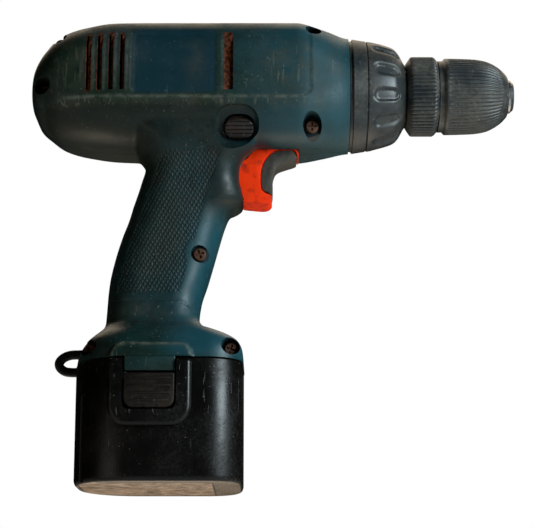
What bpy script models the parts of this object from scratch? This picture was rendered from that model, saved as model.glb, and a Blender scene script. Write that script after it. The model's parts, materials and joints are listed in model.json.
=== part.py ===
"""Pistol-grip cordless drill with a keyless chuck, a torque collar and a slide-off battery.

Metres, +Z up. The origin is the centre of the battery's flat underside. +X points along the spindle
towards the chuck, and -Y is the side that the housing screws enter from.
"""

import math

import bmesh
import bpy
from mathutils import Matrix, Vector

MM = 0.001
GAP = 0.3 * MM  # between pieces that touch
SLACK = 0.5 * MM  # round pieces that slide or turn
WALL = 2.5 * MM

# Battery: seven cells in the base and one in the tower that stands inside the grip.
CELL_DIAMETER = 22.5 * MM
CELL_HEIGHT = 43 * MM
BATTERY_END_ROOM = 4.3 * MM
BATTERY_SIDE_ROOM = 2.3 * MM
BATTERY_HEAD_ROOM = 6 * MM
BATTERY_BACK_CORNER = 27 * MM
BATTERY_FRONT_CORNER = 17 * MM
LID_THICKNESS = 4.5 * MM
TOWER_X = -1 * MM
TOWER_WALL = 1.2 * MM
TERMINAL_HEIGHT = 6 * MM
LATCH_LENGTH = 22.4 * MM
LATCH_HEIGHT = 15.7 * MM
LATCH_SURROUND = 2.6 * MM  # how far the raised frame round the latch stands out

# Planetary gears, two like stages.
MODULE = 0.8 * MM
SUN_TEETH = 12
PLANET_TEETH = 15
RING_TEETH = SUN_TEETH + 2 * PLANET_TEETH
PRESSURE_ANGLE = math.radians(25)
ADDENDUM = 0.8 * MODULE
DEDENDUM = 1.05 * MODULE
BACKLASH = 0.08 * MM  # taken off each tooth
RING_RIM = 2.9 * MM
STAGE_1_WIDTH = 6 * MM
STAGE_2_WIDTH = 10 * MM
PLANET_COUNT = 3
PIN_RADIUS = 2 * MM

# Drive line along X, on the spindle's axis.
AXIS_HEIGHT = 187.2 * MM
MOTOR_RADIUS = 18.3 * MM
MOTOR_LENGTH = 55 * MM
MOTOR_FRONT = 14 * MM
SHAFT_RADIUS = 1.6 * MM
SPINDLE_RADIUS = 6.9 * MM
SPINDLE_THREAD = 4.7 * MM
BEARING_RADIUS = 11 * MM
NOSE_FRONT = 88.9 * MM
SCALE_RING_WIDTH = 8.6 * MM
COLLAR_WIDTH = 15.9 * MM
DIMPLE_COUNT = 12
SPRING_ROOM = 17 * MM

# Keyless chuck.
CHUCK_CAPACITY = 10 * MM
JAW_ANGLE = math.radians(15)
JAW_RADIUS = 2.5 * MM
JAW_LENGTH = 25 * MM
CHUCK_LENGTH = 51.4 * MM
REAR_SLEEVE_LENGTH = 15 * MM

# Controls.
TRIGGER_HALF_WIDTH = 8 * MM
TRIGGER_TRAVEL = 6 * MM
BUTTON_TRAVEL = 2.5 * MM
BUTTON_X = 36.3 * MM
BUTTON_HALF_LENGTH = 6.7 * MM
BUTTON_HALF_HEIGHT = 4.1 * MM
BUTTON_PROUD = 1.5 * MM  # of the dish's floor
DISH_X = 34.8 * MM
DISH_RADIUS = 10.2 * MM
DISH_DEPTH = 3.5 * MM
DISH_LEAN = math.radians(40)
SCREW_LENGTH = 20 * MM
SCREW_HEAD_RADIUS = 2.9 * MM
SCREW_SHANK_RADIUS = 1.5 * MM
SCREW_RECESS_RADIUS = 3.9 * MM
BOSS_RADIUS = 4.3 * MM
VENT_WIDTH = 2.4 * MM
VENT_PITCH = 5.2 * MM

# Sizes that follow.
BATTERY_LENGTH = 3 * CELL_DIAMETER + 2 * BATTERY_END_ROOM
BATTERY_WIDTH = CELL_DIAMETER * (1 + math.sqrt(3)) + 2 * BATTERY_SIDE_ROOM
BATTERY_HEIGHT = CELL_HEIGHT + 2 * BATTERY_HEAD_ROOM
HALF_LENGTH = BATTERY_LENGTH / 2
HALF_WIDTH = BATTERY_WIDTH / 2
TOWER_HALF_LENGTH = CELL_DIAMETER / 2 + TOWER_WALL + SLACK
TOWER_HALF_WIDTH = CELL_DIAMETER / 2 + TOWER_WALL
TOWER_TOP = BATTERY_HEIGHT + CELL_HEIGHT + 7 * MM
TOWER_FRONT = TOWER_X + TOWER_HALF_LENGTH
TOWER_BACK = TOWER_X - TOWER_HALF_LENGTH
LATCH_X = -3 * MM
LATCH_LOW = BATTERY_HEIGHT - 23 * MM

SUN_RADIUS = MODULE * SUN_TEETH / 2
PLANET_RADIUS = MODULE * PLANET_TEETH / 2
RING_RADIUS = MODULE * RING_TEETH / 2
ORBIT_RADIUS = SUN_RADIUS + PLANET_RADIUS
RING_OUTER = RING_RADIUS + DEDENDUM + RING_RIM
CASE_RADIUS = RING_OUTER + GAP + 2.7 * MM
NOSE_RADIUS = CASE_RADIUS + 3.8 * MM
BODY_TOP = NOSE_RADIUS + 4.1 * MM
BODY_BOTTOM = NOSE_RADIUS + 1.5 * MM
BODY_HALF_WIDTH = NOSE_RADIUS + 4.7 * MM
BODY_CORNER = 20 * MM
CARRIER_RADIUS = ORBIT_RADIUS + PIN_RADIUS + 0.8 * MM

MOTOR_BACK = MOTOR_FRONT - MOTOR_LENGTH
END_CAP_LENGTH = 8 * MM
BODY_BACK = MOTOR_BACK - END_CAP_LENGTH - 13.3 * MM
CASE_BACK = MOTOR_FRONT + GAP
STAGE_1_BACK = CASE_BACK + 5.2 * MM
CARRIER_1_BACK = STAGE_1_BACK + STAGE_1_WIDTH + 0.8 * MM
CARRIER_THICKNESS = 3 * MM
STAGE_2_BACK = CARRIER_1_BACK + CARRIER_THICKNESS + 1.2 * MM
CARRIER_2_BACK = STAGE_2_BACK + STAGE_2_WIDTH + 0.8 * MM
CASE_WALL_BACK = CARRIER_2_BACK + CARRIER_THICKNESS + 12 * MM
CASE_WALL = 3.5 * MM
SPRING_BACK = CASE_WALL_BACK + CASE_WALL + GAP
NUT_BACK = SPRING_BACK + SPRING_ROOM
SCALE_FRONT = NOSE_FRONT + GAP + SCALE_RING_WIDTH
COLLAR_BACK = SCALE_FRONT + 2 * GAP
COLLAR_FRONT = COLLAR_BACK + COLLAR_WIDTH
TUBE_FRONT = COLLAR_FRONT - 8 * MM
TUBE_RADIUS = BEARING_RADIUS + GAP + 3.7 * MM
NUT_RADIUS = TUBE_RADIUS + SLACK + 3.2 * MM

CHUCK_BACK = COLLAR_FRONT + SLACK
CHUCK_FRONT = CHUCK_BACK + CHUCK_LENGTH
GRIP_RADIUS = CHUCK_CAPACITY / 2 + 0.1 * MM
CLOSED_RADIUS = 0.5 * MM
JAW_TRAVEL = (GRIP_RADIUS - CLOSED_RADIUS) / math.sin(JAW_ANGLE)
JAW_TIP = CHUCK_FRONT + 3.4 * MM - JAW_TRAVEL * math.cos(JAW_ANGLE)
JAW_TIP_RADIUS = GRIP_RADIUS + 0.2 * MM
JAW_TAIL = JAW_TIP - JAW_LENGTH * math.cos(JAW_ANGLE)
JAW_TAIL_RADIUS = JAW_TIP_RADIUS + JAW_LENGTH * math.sin(JAW_ANGLE)
CHUCK_BODY_RADIUS = JAW_TAIL_RADIUS + 1.2 * MM
TAIL_ROOM_RADIUS = JAW_TAIL_RADIUS + JAW_RADIUS + 0.8 * MM
SLEEVE_RADIUS = TAIL_ROOM_RADIUS + 3.9 * MM
BIT_BORE_RADIUS = GRIP_RADIUS + 0.1 * MM
SPINDLE_END = CHUCK_BACK + 12 * MM
CHUCK_NUT_LENGTH = 4.5 * MM
CHUCK_NUT_BACK = JAW_TAIL + JAW_TRAVEL * math.cos(JAW_ANGLE) + 0.6 * MM

TRIGGER_X = TOWER_FRONT + 24 * MM
TRIGGER_LOW = AXIS_HEIGHT - 54.9 * MM
TRIGGER_STEP = AXIS_HEIGHT - 52 * MM
TRIGGER_TOP = AXIS_HEIGHT - 27.7 * MM
TRIGGER_REACH = 29.2 * MM
SWITCH_FRONT = TRIGGER_X - TRIGGER_TRAVEL - 9.5 * MM
BUTTON_LOW = AXIS_HEIGHT - CASE_RADIUS - 5.8 * MM
BUTTON_BAR_TOP = AXIS_HEIGHT - CASE_RADIUS - 0.9 * MM
BUTTON_BAR_HALF = 0.6 * CASE_RADIUS

EYE_HALF_WIDTH = 2 * MM
EYE_LOW = BATTERY_HEIGHT + 1.4 * MM
EYE_HIGH = BATTERY_HEIGHT + 9 * MM
EYE_FRONT = -HALF_LENGTH + 2.6 * MM

LEVELS = 5  # steps round each corner of the housing's sections

# Housing along X: distance from the back, then shares of the full top, bottom and half width.
REAR_STATIONS = (
    (0.0, 0.15, 0.26, 0.38),
    (1.0, 0.27, 0.40, 0.55),
    (3.0, 0.43, 0.54, 0.68),
    (7.5, 0.66, 0.69, 0.80),
    (14.5, 0.835, 0.84, 0.89),
    (25.5, 0.935, 0.93, 0.955),
    (40.0, 0.995, 0.985, 0.995),
    (56.0, 1.0, 1.0, 1.0),
)
# Foot: height above the battery, then how far it draws in at the back, front and sides.
FOOT_STATIONS = (
    (0.3, 0.3, -0.5, 0.3),
    (5.0, 1.6, 0.2, 1.0),
    (10.0, 4.5, 2.2, 3.0),
    (13.5, 8.2, 6.0, 5.5),
    (16.2, 11.0, 10.6, 9.0),
    (18.2, 12.2, 16.0, 12.2),
    (20.3, 12.6, 19.6, 14.4),
    (23.0, 12.8, 20.7, 15.5),
)
# Grip: share of the way from the foot to the spindle's axis, then its back, its front and its half
# width, all counted from the battery tower's faces.
GRIP_STATIONS = (
    (0.075, -11.0, 5.7, 4.1),
    (0.155, -10.2, 8.4, 4.3),
    (0.24, -8.3, 11.3, 4.6),
    (0.355, -4.6, 15.1, 5.1),
    (0.42, -1.9, 17.2, 5.6),
    (0.465, -0.4, 20.0, 6.1),
    (0.495, 0.6, 23.8, 6.5),
    (0.57, 3.5, 24.2, 7.8),
    (0.655, 6.2, 24.6, 11.0),
    (0.72, 3.0, 28.0, 14.0),
    (0.80, -4.0, 33.0, 16.0),
)
# Housing screws: x, height over the spindle's axis, depth of the recess's floor from the middle.
BODY_SCREWS = ((70.2, -23.4, 14.0), (70.6, 26.0, 5.0), (-49.0, 22.8, 8.0), (-55.6, -2.6, 12.0))
# Grip and foot screws: x, height over the battery, depth of the recess's floor. The grip's is a fixed
# share of the way up to the spindle.
GRIP_SCREW_RISE = 0.38578 * (AXIS_HEIGHT - BATTERY_HEIGHT) / MM
LOWER_SCREWS = ((18.0, GRIP_SCREW_RISE, 10.0), (32.6, 6.2, 16.0), (-31.6, 6.6, 10.0))


def finish(name, colour, roughness, metallic=0.0):
    made = bpy.data.materials.new(name)
    made.use_nodes = True
    shader = made.node_tree.nodes["Principled BSDF"]
    shader.inputs["Base Color"].default_value = (*colour, 1)
    shader.inputs["Roughness"].default_value = roughness
    shader.inputs["Metallic"].default_value = metallic
    return made


def add_solid(name, points, faces, material=None, at=(0, 0, 0)):
    """One closed mesh object with its faces pointing out."""
    mesh = bpy.data.meshes.new(name)
    mesh.from_pydata(points, [], faces)
    work = bmesh.new()
    work.from_mesh(mesh)
    bmesh.ops.recalc_face_normals(work, faces=work.faces)
    work.to_mesh(mesh)
    work.free()
    if material:
        mesh.materials.append(material)
    made = bpy.data.objects.new(name, mesh)
    made.location = at
    bpy.context.collection.objects.link(made)
    return made


def smooth(made, angle=35):
    made.data.shade_smooth()
    made.data.set_sharp_from_angle(angle=math.radians(angle))
    return made


def loft(name, rings, material=None, at=(0, 0, 0)):
    """Skin over loops with as many points each, closed by a flat face at both ends."""
    count = len(rings[0])
    points = [point for ring in rings for point in ring]
    faces = [list(range(count)), list(range(len(points) - count, len(points)))]
    for low in range(0, len(points) - count, count):
        for i in range(count):
            j = (i + 1) % count
            faces.append((low + i, low + j, low + count + j, low + count + i))
    return add_solid(name, points, faces, material, at)


def turned(name, profile, material=None, segments=32, at=None, start=0.0):
    """Profile of (along, radius) turned about an axis along X."""
    points, rows = [], []
    for along, radius in profile:
        if radius <= 0:
            rows.append([len(points)])
            points.append((along, 0, 0))
            continue
        rows.append(list(range(len(points), len(points) + segments)))
        for i in range(segments):
            turn = start + 2 * math.pi * i / segments
            points.append((along, radius * math.cos(turn), radius * math.sin(turn)))
    faces = []
    for first, second in zip(rows, rows[1:] + rows[:1]):
        if len(first) == 1 and len(second) == 1:
            continue
        for i in range(segments):
            j = (i + 1) % segments
            near = [first[k % len(first)] for k in (i, j)]
            far = [second[k % len(second)] for k in (j, i)]
            faces.append(list(dict.fromkeys(near + far)))
    at = (0, 0, AXIS_HEIGHT) if at is None else at
    return smooth(add_solid(name, points, faces, material, at))


def tube(name, back, front, inner, outer, material=None, segments=32, at=None):
    profile = [(back, outer), (front, outer), (front, inner), (back, inner)]
    return turned(name, profile, material, segments, at)


def rod(name, back, front, radius, material=None, segments=24, at=None, start=0.0):
    profile = [(back, 0), (back, radius), (front, radius), (front, 0)]
    return turned(name, profile, material, segments, at, start)


def cross_rod(name, x, z, y_from, y_to, radius, material=None, segments=20):
    """Round bar along Y."""
    rings = []
    for y in (y_from, y_to):
        turns = [2 * math.pi * i / segments for i in range(segments)]
        rings.append([(radius * math.cos(t), y, radius * math.sin(t)) for t in turns])
    return smooth(loft(name, rings, material, (x, 0, z)))


def block(name, low, high, material=None, bevel=0.0):
    centre = [(a + b) / 2 for a, b in zip(low, high)]
    x, y, z = [(b - a) / 2 for a, b in zip(low, high)]
    rings = [[(-x, -y, k), (x, -y, k), (x, y, k), (-x, y, k)] for k in (-z, z)]
    made = loft(name, rings, material, centre)
    if bevel:
        round_edges(made, bevel)
    return made


def round_edges(made, width, segments=1):
    edge = made.modifiers.new("edges", "BEVEL")
    edge.width = width
    edge.segments = segments
    edge.limit_method = "ANGLE"
    edge.angle_limit = math.radians(40)


def slab(name, outline, y_from, y_to, material=None):
    """Outline of (x, z) with a thickness along Y."""
    return loft(name, [[(x, y, z) for x, z in outline] for y in (y_from, y_to)], material)


def helper(made):
    made.hide_render = True
    made.display_type = "WIRE"
    return made


def combine(target, others, operation="DIFFERENCE"):
    for other in others:
        step = target.modifiers.new(other.name, "BOOLEAN")
        step.operation = operation
        step.object = helper(other)
        step.solver = "EXACT"
    return target


def settle(made):
    """The object's mesh as its modifiers leave it, kept as its own mesh."""
    graph = bpy.context.evaluated_depsgraph_get()
    mesh = bpy.data.meshes.new_from_object(made.evaluated_get(graph))
    made.modifiers.clear()
    made.data = mesh
    return made


def rounded(u_low, u_high, v_low, v_high, radii, steps=LEVELS):
    """Rectangle with four round corners: (low, low), (high, low), (high, high), (low, high)."""
    most = min(u_high - u_low, v_high - v_low) / 2
    points = []
    for corner, radius in enumerate(radii):
        radius = min(radius, most)
        u = u_low + radius if corner in (0, 3) else u_high - radius
        v = v_low + radius if corner < 2 else v_high - radius
        reach = radius / math.cos(math.pi / 4 / steps)
        for i in range(steps):
            turn = math.pi * (1 + corner / 2) + math.pi / 2 * (i + 0.5) / steps
            points.append((u + reach * math.cos(turn), v + reach * math.sin(turn)))
    return points


def plan(back, front, half_width, back_corner, front_corner, z, inset=0.0):
    radii = [max(corner - inset, MM) for corner in (back_corner, front_corner, front_corner, back_corner)]
    flat = rounded(back + inset, front - inset, inset - half_width, half_width - inset, radii)
    return [(x, y, z) for x, y in flat]


def body_section(x, top, bottom, half_width, corner_top, corner_bottom, inset):
    radii = [max(corner - inset, MM) for corner in (corner_bottom, corner_bottom, corner_top, corner_top)]
    flat = rounded(inset - half_width, half_width - inset, inset - bottom, top - inset, radii)
    return [(x, y, AXIS_HEIGHT + z) for y, z in flat]


def body_solid(name, inset, front):
    """Barrel of the housing, drawn in by inset, ending at x = front."""
    corner_top = corner_bottom = BODY_CORNER
    rings = []
    for distance, top, bottom, width in REAR_STATIONS:
        rings.append(
            body_section(
                BODY_BACK + inset + distance * MM,
                BODY_TOP * top,
                BODY_BOTTOM * bottom,
                BODY_HALF_WIDTH * width,
                corner_top,
                corner_bottom,
                inset,
            )
        )
    for share, back_off in ((0.0, 25 * MM), (0.5, 13 * MM), (1.0, 0.0)):
        mix = lambda full: full + (NOSE_RADIUS - full) * share
        rings.append(
            body_section(
                (front if share == 1.0 else NOSE_FRONT - back_off),
                mix(BODY_TOP),
                mix(BODY_BOTTOM),
                mix(BODY_HALF_WIDTH),
                mix(corner_top),
                mix(corner_bottom),
                inset,
            )
        )
    return loft(name, rings)


def grip_solid(name, inset, floor):
    """Grip and flared foot, drawn in by inset, starting at z = floor."""
    rings = []
    for rise, back, front, side in FOOT_STATIONS:
        share = rise / FOOT_STATIONS[-1][0]
        z = BATTERY_HEIGHT + rise * MM
        rings.append(
            plan(
                -HALF_LENGTH + back * MM,
                HALF_LENGTH - front * MM,
                HALF_WIDTH - side * MM,
                BATTERY_BACK_CORNER + (14 * MM - BATTERY_BACK_CORNER) * share,
                BATTERY_FRONT_CORNER + (12 * MM - BATTERY_FRONT_CORNER) * share,
                floor if rise == FOOT_STATIONS[0][0] else z,
                inset,
            )
        )
    foot_top = BATTERY_HEIGHT + FOOT_STATIONS[-1][0] * MM
    for share, back, front, side in GRIP_STATIONS:
        rings.append(
            plan(
                TOWER_BACK + back * MM,
                TOWER_FRONT + front * MM,
                TOWER_HALF_WIDTH + side * MM,
                15 * MM,
                13 * MM,
                foot_top + (AXIS_HEIGHT - foot_top) * share,
                inset,
            )
        )
    return loft(name, rings)


def involute(angle):
    return math.tan(angle) - angle


def tooth_row(teeth, radii, thicker):
    """Gear outline as polar points, two to a tooth for each radius, the first tooth on angle 0."""
    pitch = MODULE * teeth / 2
    base = pitch * math.cos(PRESSURE_ANGLE)
    half_tooth = (math.pi * MODULE / 2 + thicker) / (2 * pitch)
    flank = []
    for radius in radii:
        lean = math.acos(min(1.0, base / radius))
        flank.append((radius, half_tooth + involute(PRESSURE_ANGLE) - involute(lean)))
    points = []
    for tooth in range(teeth):
        middle = 2 * math.pi * tooth / teeth
        points += [(radius, middle - half) for radius, half in flank]
        points += [(radius, middle + half) for radius, half in reversed(flank)]
    return points


def gear(name, teeth, back, width, bore, material, at, phase=0.0):
    """External gear about X."""
    pitch = MODULE * teeth / 2
    toothed = tooth_row(teeth, (pitch - DEDENDUM, pitch, pitch + ADDENDUM), -BACKLASH)
    return wheel(name, toothed, bore, back, back + width, teeth, material, at, phase)


def ring_gear(name, back, front, material):
    """Internal gear about X. Its spaces are the teeth of an external gear, turned by half a pitch."""
    toothed = tooth_row(RING_TEETH, (RING_RADIUS - ADDENDUM, RING_RADIUS + DEDENDUM), BACKLASH + 0.05 * MM)
    phase = math.pi / RING_TEETH
    return wheel(name, toothed, RING_OUTER, back, front, RING_TEETH, material, (0, 0, AXIS_HEIGHT), phase)


def wheel(name, toothed, round_radius, back, front, teeth, material, at, phase):
    """Solid between a toothed outline and a circle of one point to a tooth."""
    count = len(toothed)
    each = count // teeth
    points = []
    for x in (back, front):
        for radius, turn in toothed:
            points.append((x, radius * math.cos(turn + phase), radius * math.sin(turn + phase)))
        for tooth in range(teeth):
            turn = toothed[tooth * each][1] + phase
            points.append((x, round_radius * math.cos(turn), round_radius * math.sin(turn)))
    side = count + teeth
    faces = []
    for tooth in range(teeth):
        after = (tooth + 1) % teeth
        edge = [tooth * each + i for i in range(each)] + [after * each]
        inner = [count + after, count + tooth]
        for low in (0, side):
            faces.append([low + i for i in edge + inner])
        faces.append((inner[0], inner[1], inner[1] + side, inner[0] + side))
        faces += [(a, b, b + side, a + side) for a, b in zip(edge, edge[1:])]
    return add_solid(name, points, faces, material, at)


def coil(name, back, length, mean_radius, wire, turns, material, per_turn=14, sides=6):
    """Round-wire compression spring along X."""
    steps = int(turns * per_turn)
    rings = []
    for i in range(steps + 1):
        turn = 2 * math.pi * i / per_turn
        along = back + wire + (length - 2 * wire) * i / steps
        centre = Vector((along, mean_radius * math.cos(turn), mean_radius * math.sin(turn)))
        out = Vector((0, math.cos(turn), math.sin(turn)))
        ring = []
        for k in range(sides):
            roll = 2 * math.pi * k / sides
            ring.append(centre + wire * (math.cos(roll) * out + math.sin(roll) * Vector((1, 0, 0))))
        rings.append(ring)
    return smooth(loft(name, rings, material, (0, 0, AXIS_HEIGHT)), 60)


def planet_places():
    for index in range(PLANET_COUNT):
        turn = math.pi / 2 + 2 * math.pi * index / PLANET_COUNT
        yield "abc"[index], (0, ORBIT_RADIUS * math.cos(turn), AXIS_HEIGHT + ORBIT_RADIUS * math.sin(turn))


# --- Finishes ---------------------------------------------------------------------------------------
HOUSING = finish("housing_plastic", (0.012, 0.045, 0.050), 0.45)
BLACK = finish("black_plastic", (0.010, 0.011, 0.012), 0.40)
ORANGE = finish("trigger_plastic", (0.75, 0.075, 0.015), 0.40)
GREY = finish("pad_plastic", (0.075, 0.072, 0.065), 0.60)
BROWN = finish("button_plastic", (0.035, 0.022, 0.016), 0.60)
STEEL = finish("steel", (0.42, 0.42, 0.43), 0.32, 1.0)
DARK_STEEL = finish("dark_steel", (0.10, 0.10, 0.10), 0.40, 1.0)
RUSTY = finish("rusty_steel", (0.16, 0.07, 0.04), 0.65, 0.6)
BRASS = finish("brass", (0.60, 0.42, 0.16), 0.30, 1.0)
COPPER = finish("copper", (0.65, 0.26, 0.14), 0.32, 1.0)
CARBON = finish("carbon", (0.03, 0.03, 0.03), 0.75)
CELL = finish("cell_sleeve", (0.55, 0.55, 0.52), 0.45)
GEAR_PLASTIC = finish("gear_plastic", (0.55, 0.54, 0.48), 0.45)


# --- Housing ----------------------------------------------------------------------------------------
def screw_places():
    for x, rise, depth in BODY_SCREWS:
        yield x * MM, AXIS_HEIGHT + rise * MM, depth * MM
    for x, rise, depth in LOWER_SCREWS:
        yield x * MM, BATTERY_HEIGHT + rise * MM, depth * MM


def dish(name, side, radius, depth):
    """Round pocket for the direction button, square to the body's lower corner."""
    bar = rod(name, BODY_CORNER - depth, BODY_CORNER + 15 * MM, radius, segments=20, at=(0, 0, 0))
    low = AXIS_HEIGHT - BODY_BOTTOM + BODY_CORNER
    place = Matrix.Translation((DISH_X, side * (BODY_HALF_WIDTH - BODY_CORNER), low))
    out = Vector((0, side * math.cos(DISH_LEAN), -math.sin(DISH_LEAN)))
    bar.matrix_world = place @ out.to_track_quat("X", "Z").to_matrix().to_4x4()
    return bar


def switch_ends(spare):
    """Low and high corners of the switch, with some spare room round it."""
    half = TRIGGER_HALF_WIDTH + 2 * MM + spare
    low = (TRIGGER_X - 41 * MM - spare, -half, AXIS_HEIGHT - 64 * MM - spare)
    return low, (TRIGGER_X - 15.7 * MM + spare, half, AXIS_HEIGHT - 35.5 * MM + spare)


def hollow_of_housing():
    """Inside space of the housing, less the ribs and screw posts that stand in it."""
    hollow = body_solid("hollow_body", WALL, NOSE_FRONT + 2 * MM)
    reach = 60 * MM
    ribs = (
        (MOTOR_BACK + 12 * MM, MOTOR_RADIUS + GAP),
        (MOTOR_FRONT - 8 * MM, MOTOR_RADIUS + GAP),
        (BUTTON_X + 10 * MM, CASE_RADIUS + GAP),
    )
    walls = [block(f"rib_{x:.3f}", (x, -reach, 0.13), (x + 2 * MM, reach, 0.26)) for x, _ in ribs]
    combine(hollow, walls)
    bores = [rod(f"rib_bore_{x:.3f}", x - MM, x + 3 * MM, radius, segments=32) for x, radius in ribs]
    combine(hollow, bores, "UNION")
    grip = grip_solid("hollow_grip", WALL, BATTERY_HEIGHT + GAP + WALL)
    combine(hollow, [grip, block("switch_room", *switch_ends(GAP))], "UNION")
    posts = []
    for index, (x, z, _) in enumerate(screw_places()):
        posts.append(cross_rod(f"post_{index}", x, z, -reach, reach, BOSS_RADIUS, segments=12))
    pockets = [
        dish(f"dish_back_{side}", side, DISH_RADIUS + WALL, DISH_DEPTH + WALL) for side in (-1, 1)
    ]
    combine(hollow, posts + pockets)
    return settle(hollow)


def housing_cutters(side):
    """What is cut from one half: side is -1 for the right half, +1 for the left."""
    cutters = []
    vent_low, vent_high = AXIS_HEIGHT - 8 * MM, AXIS_HEIGHT + 19.5 * MM
    slots = [(BODY_BACK + 28.2 * MM + VENT_PITCH * i, VENT_WIDTH) for i in range(4)]
    slots.append((MOTOR_FRONT + 17.1 * MM, 1.8 * VENT_WIDTH))
    inside = min(CASE_RADIUS, MOTOR_RADIUS) + MM
    for index, (x, width) in enumerate(slots):
        ends = sorted((side * inside, side * 40 * MM))
        low = (x - width / 2, ends[0], vent_low)
        high = (x + width / 2, ends[1], vent_high)
        cutters.append(block(f"slot_{index}", low, high))
    cutters.append(
        block(
            "trigger_way",
            (SWITCH_FRONT, -TRIGGER_HALF_WIDTH - SLACK, TRIGGER_STEP - SLACK),
            (TRIGGER_X + TRIGGER_REACH, TRIGGER_HALF_WIDTH + SLACK, TRIGGER_TOP + SLACK),
        )
    )
    cutters.append(
        block(
            "trigger_lip_way",
            (TRIGGER_X - TRIGGER_TRAVEL - SLACK, -TRIGGER_HALF_WIDTH - SLACK, TRIGGER_LOW - SLACK),
            (TRIGGER_X + TRIGGER_REACH, TRIGGER_HALF_WIDTH + SLACK, TRIGGER_STEP),
        )
    )
    cutters.append(
        block(
            "tower_way",
            (TOWER_BACK - SLACK, -TOWER_HALF_WIDTH - SLACK, BATTERY_HEIGHT - MM),
            (TOWER_FRONT + SLACK, TOWER_HALF_WIDTH + SLACK, TOWER_TOP + SLACK),
        )
    )
    ends = sorted((side * (BUTTON_BAR_HALF - MM - 2 * BUTTON_TRAVEL), side * 40 * MM))
    button_room = BUTTON_HALF_LENGTH + SLACK
    cutters.append(
        block(
            "button_way",
            (BUTTON_X - button_room, ends[0], BUTTON_LOW - SLACK),
            (BUTTON_X + button_room, ends[1], AXIS_HEIGHT - CASE_RADIUS + BUTTON_HALF_HEIGHT + SLACK),
        )
    )
    cutters.append(dish("dish", side, DISH_RADIUS, DISH_DEPTH))
    eye = block(
        "eye_way",
        (-HALF_LENGTH - 5 * MM, -EYE_HALF_WIDTH - GAP, EYE_LOW - GAP),
        (EYE_FRONT + GAP, EYE_HALF_WIDTH + GAP, EYE_HIGH + GAP),
    )
    cutters.append(eye)
    for index, (x, z, depth) in enumerate(screw_places()):
        hole = SCREW_SHANK_RADIUS + GAP
        if side < 0:
            recess = cross_rod(f"recess_{index}", x, z, -45 * MM, -depth, SCREW_RECESS_RADIUS, segments=14)
            cutters += [recess, cross_rod(f"clear_{index}", x, z, -depth - MM, MM, hole, segments=8)]
        else:
            pilot = SCREW_LENGTH - depth + MM
            cutters.append(cross_rod(f"pilot_{index}", x, z, -MM, pilot, hole, segments=8))
    return cutters


def make_housing():
    hollow = hollow_of_housing()
    shell = body_solid("housing_shell", 0.0, NOSE_FRONT)
    combine(shell, [grip_solid("grip_outside", 0.0, BATTERY_HEIGHT + GAP)], "UNION")
    settle(combine(shell, [hollow]))
    for side, name in ((-1, "housing_right"), (1, "housing_left")):
        half = bpy.data.objects.new(name, shell.data.copy())
        bpy.context.collection.objects.link(half)
        half.data.materials.clear()
        half.data.materials.append(HOUSING)
        far = 0.2
        away = sorted((-side * far, side * GAP / 2))
        other_side = block(f"split_{name}", (-far, away[0], -far), (far, away[1], 2 * far))
        combine(half, [other_side] + housing_cutters(side))
        smooth(settle(half), 30)
    helper(shell)


def make_screws():
    for index, (x, z, depth) in enumerate(screw_places()):
        head = cross_rod(f"housing_screw_{index + 1}", x, z, -depth - 2.2 * MM, -depth - 0.2 * MM,
                         SCREW_HEAD_RADIUS, RUSTY, 12)
        shank = cross_rod(f"shank_{index}", x, z, -depth - MM, SCREW_LENGTH - depth, SCREW_SHANK_RADIUS,
                          segments=8)
        combine(head, [shank], "UNION")


def make_strap_eye():
    middle = (EYE_LOW + EYE_HIGH) / 2
    back = -HALF_LENGTH - 10.9 * MM
    drop = 4.6 * MM
    outline = [
        (EYE_FRONT, EYE_LOW),
        (EYE_FRONT, EYE_HIGH),
        (-HALF_LENGTH - 3 * MM, EYE_HIGH),
        (back + 3.6 * MM, EYE_HIGH - 1.5 * MM),
        (back + MM, middle + 1.6 * MM),
        (back, middle - MM),
        (back + MM, middle - 4.4 * MM),
        (back + 3.6 * MM, EYE_LOW - drop),
        (-HALF_LENGTH - 3 * MM, EYE_LOW - drop),
        (-HALF_LENGTH - 0.5 * MM, EYE_LOW - 2.4 * MM),
        (-HALF_LENGTH - 0.5 * MM, EYE_LOW),
    ]
    eye = slab("strap_eye", outline, -EYE_HALF_WIDTH + GAP, EYE_HALF_WIDTH - GAP, BLACK)
    hole_high = EYE_HIGH - 4.6 * MM
    hole_low = EYE_LOW - 1.6 * MM
    hole_back, hole_front = back + 3.6 * MM, -HALF_LENGTH - 0.6 * MM
    hole = [
        (x, z)
        for x, z in rounded(hole_back, hole_front, hole_low, hole_high, [1.5 * MM] * 4, 2)
    ]
    combine(eye, [slab("eye_hole", hole, -4 * MM, 4 * MM)])
    round_edges(eye, 0.4 * MM)


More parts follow.
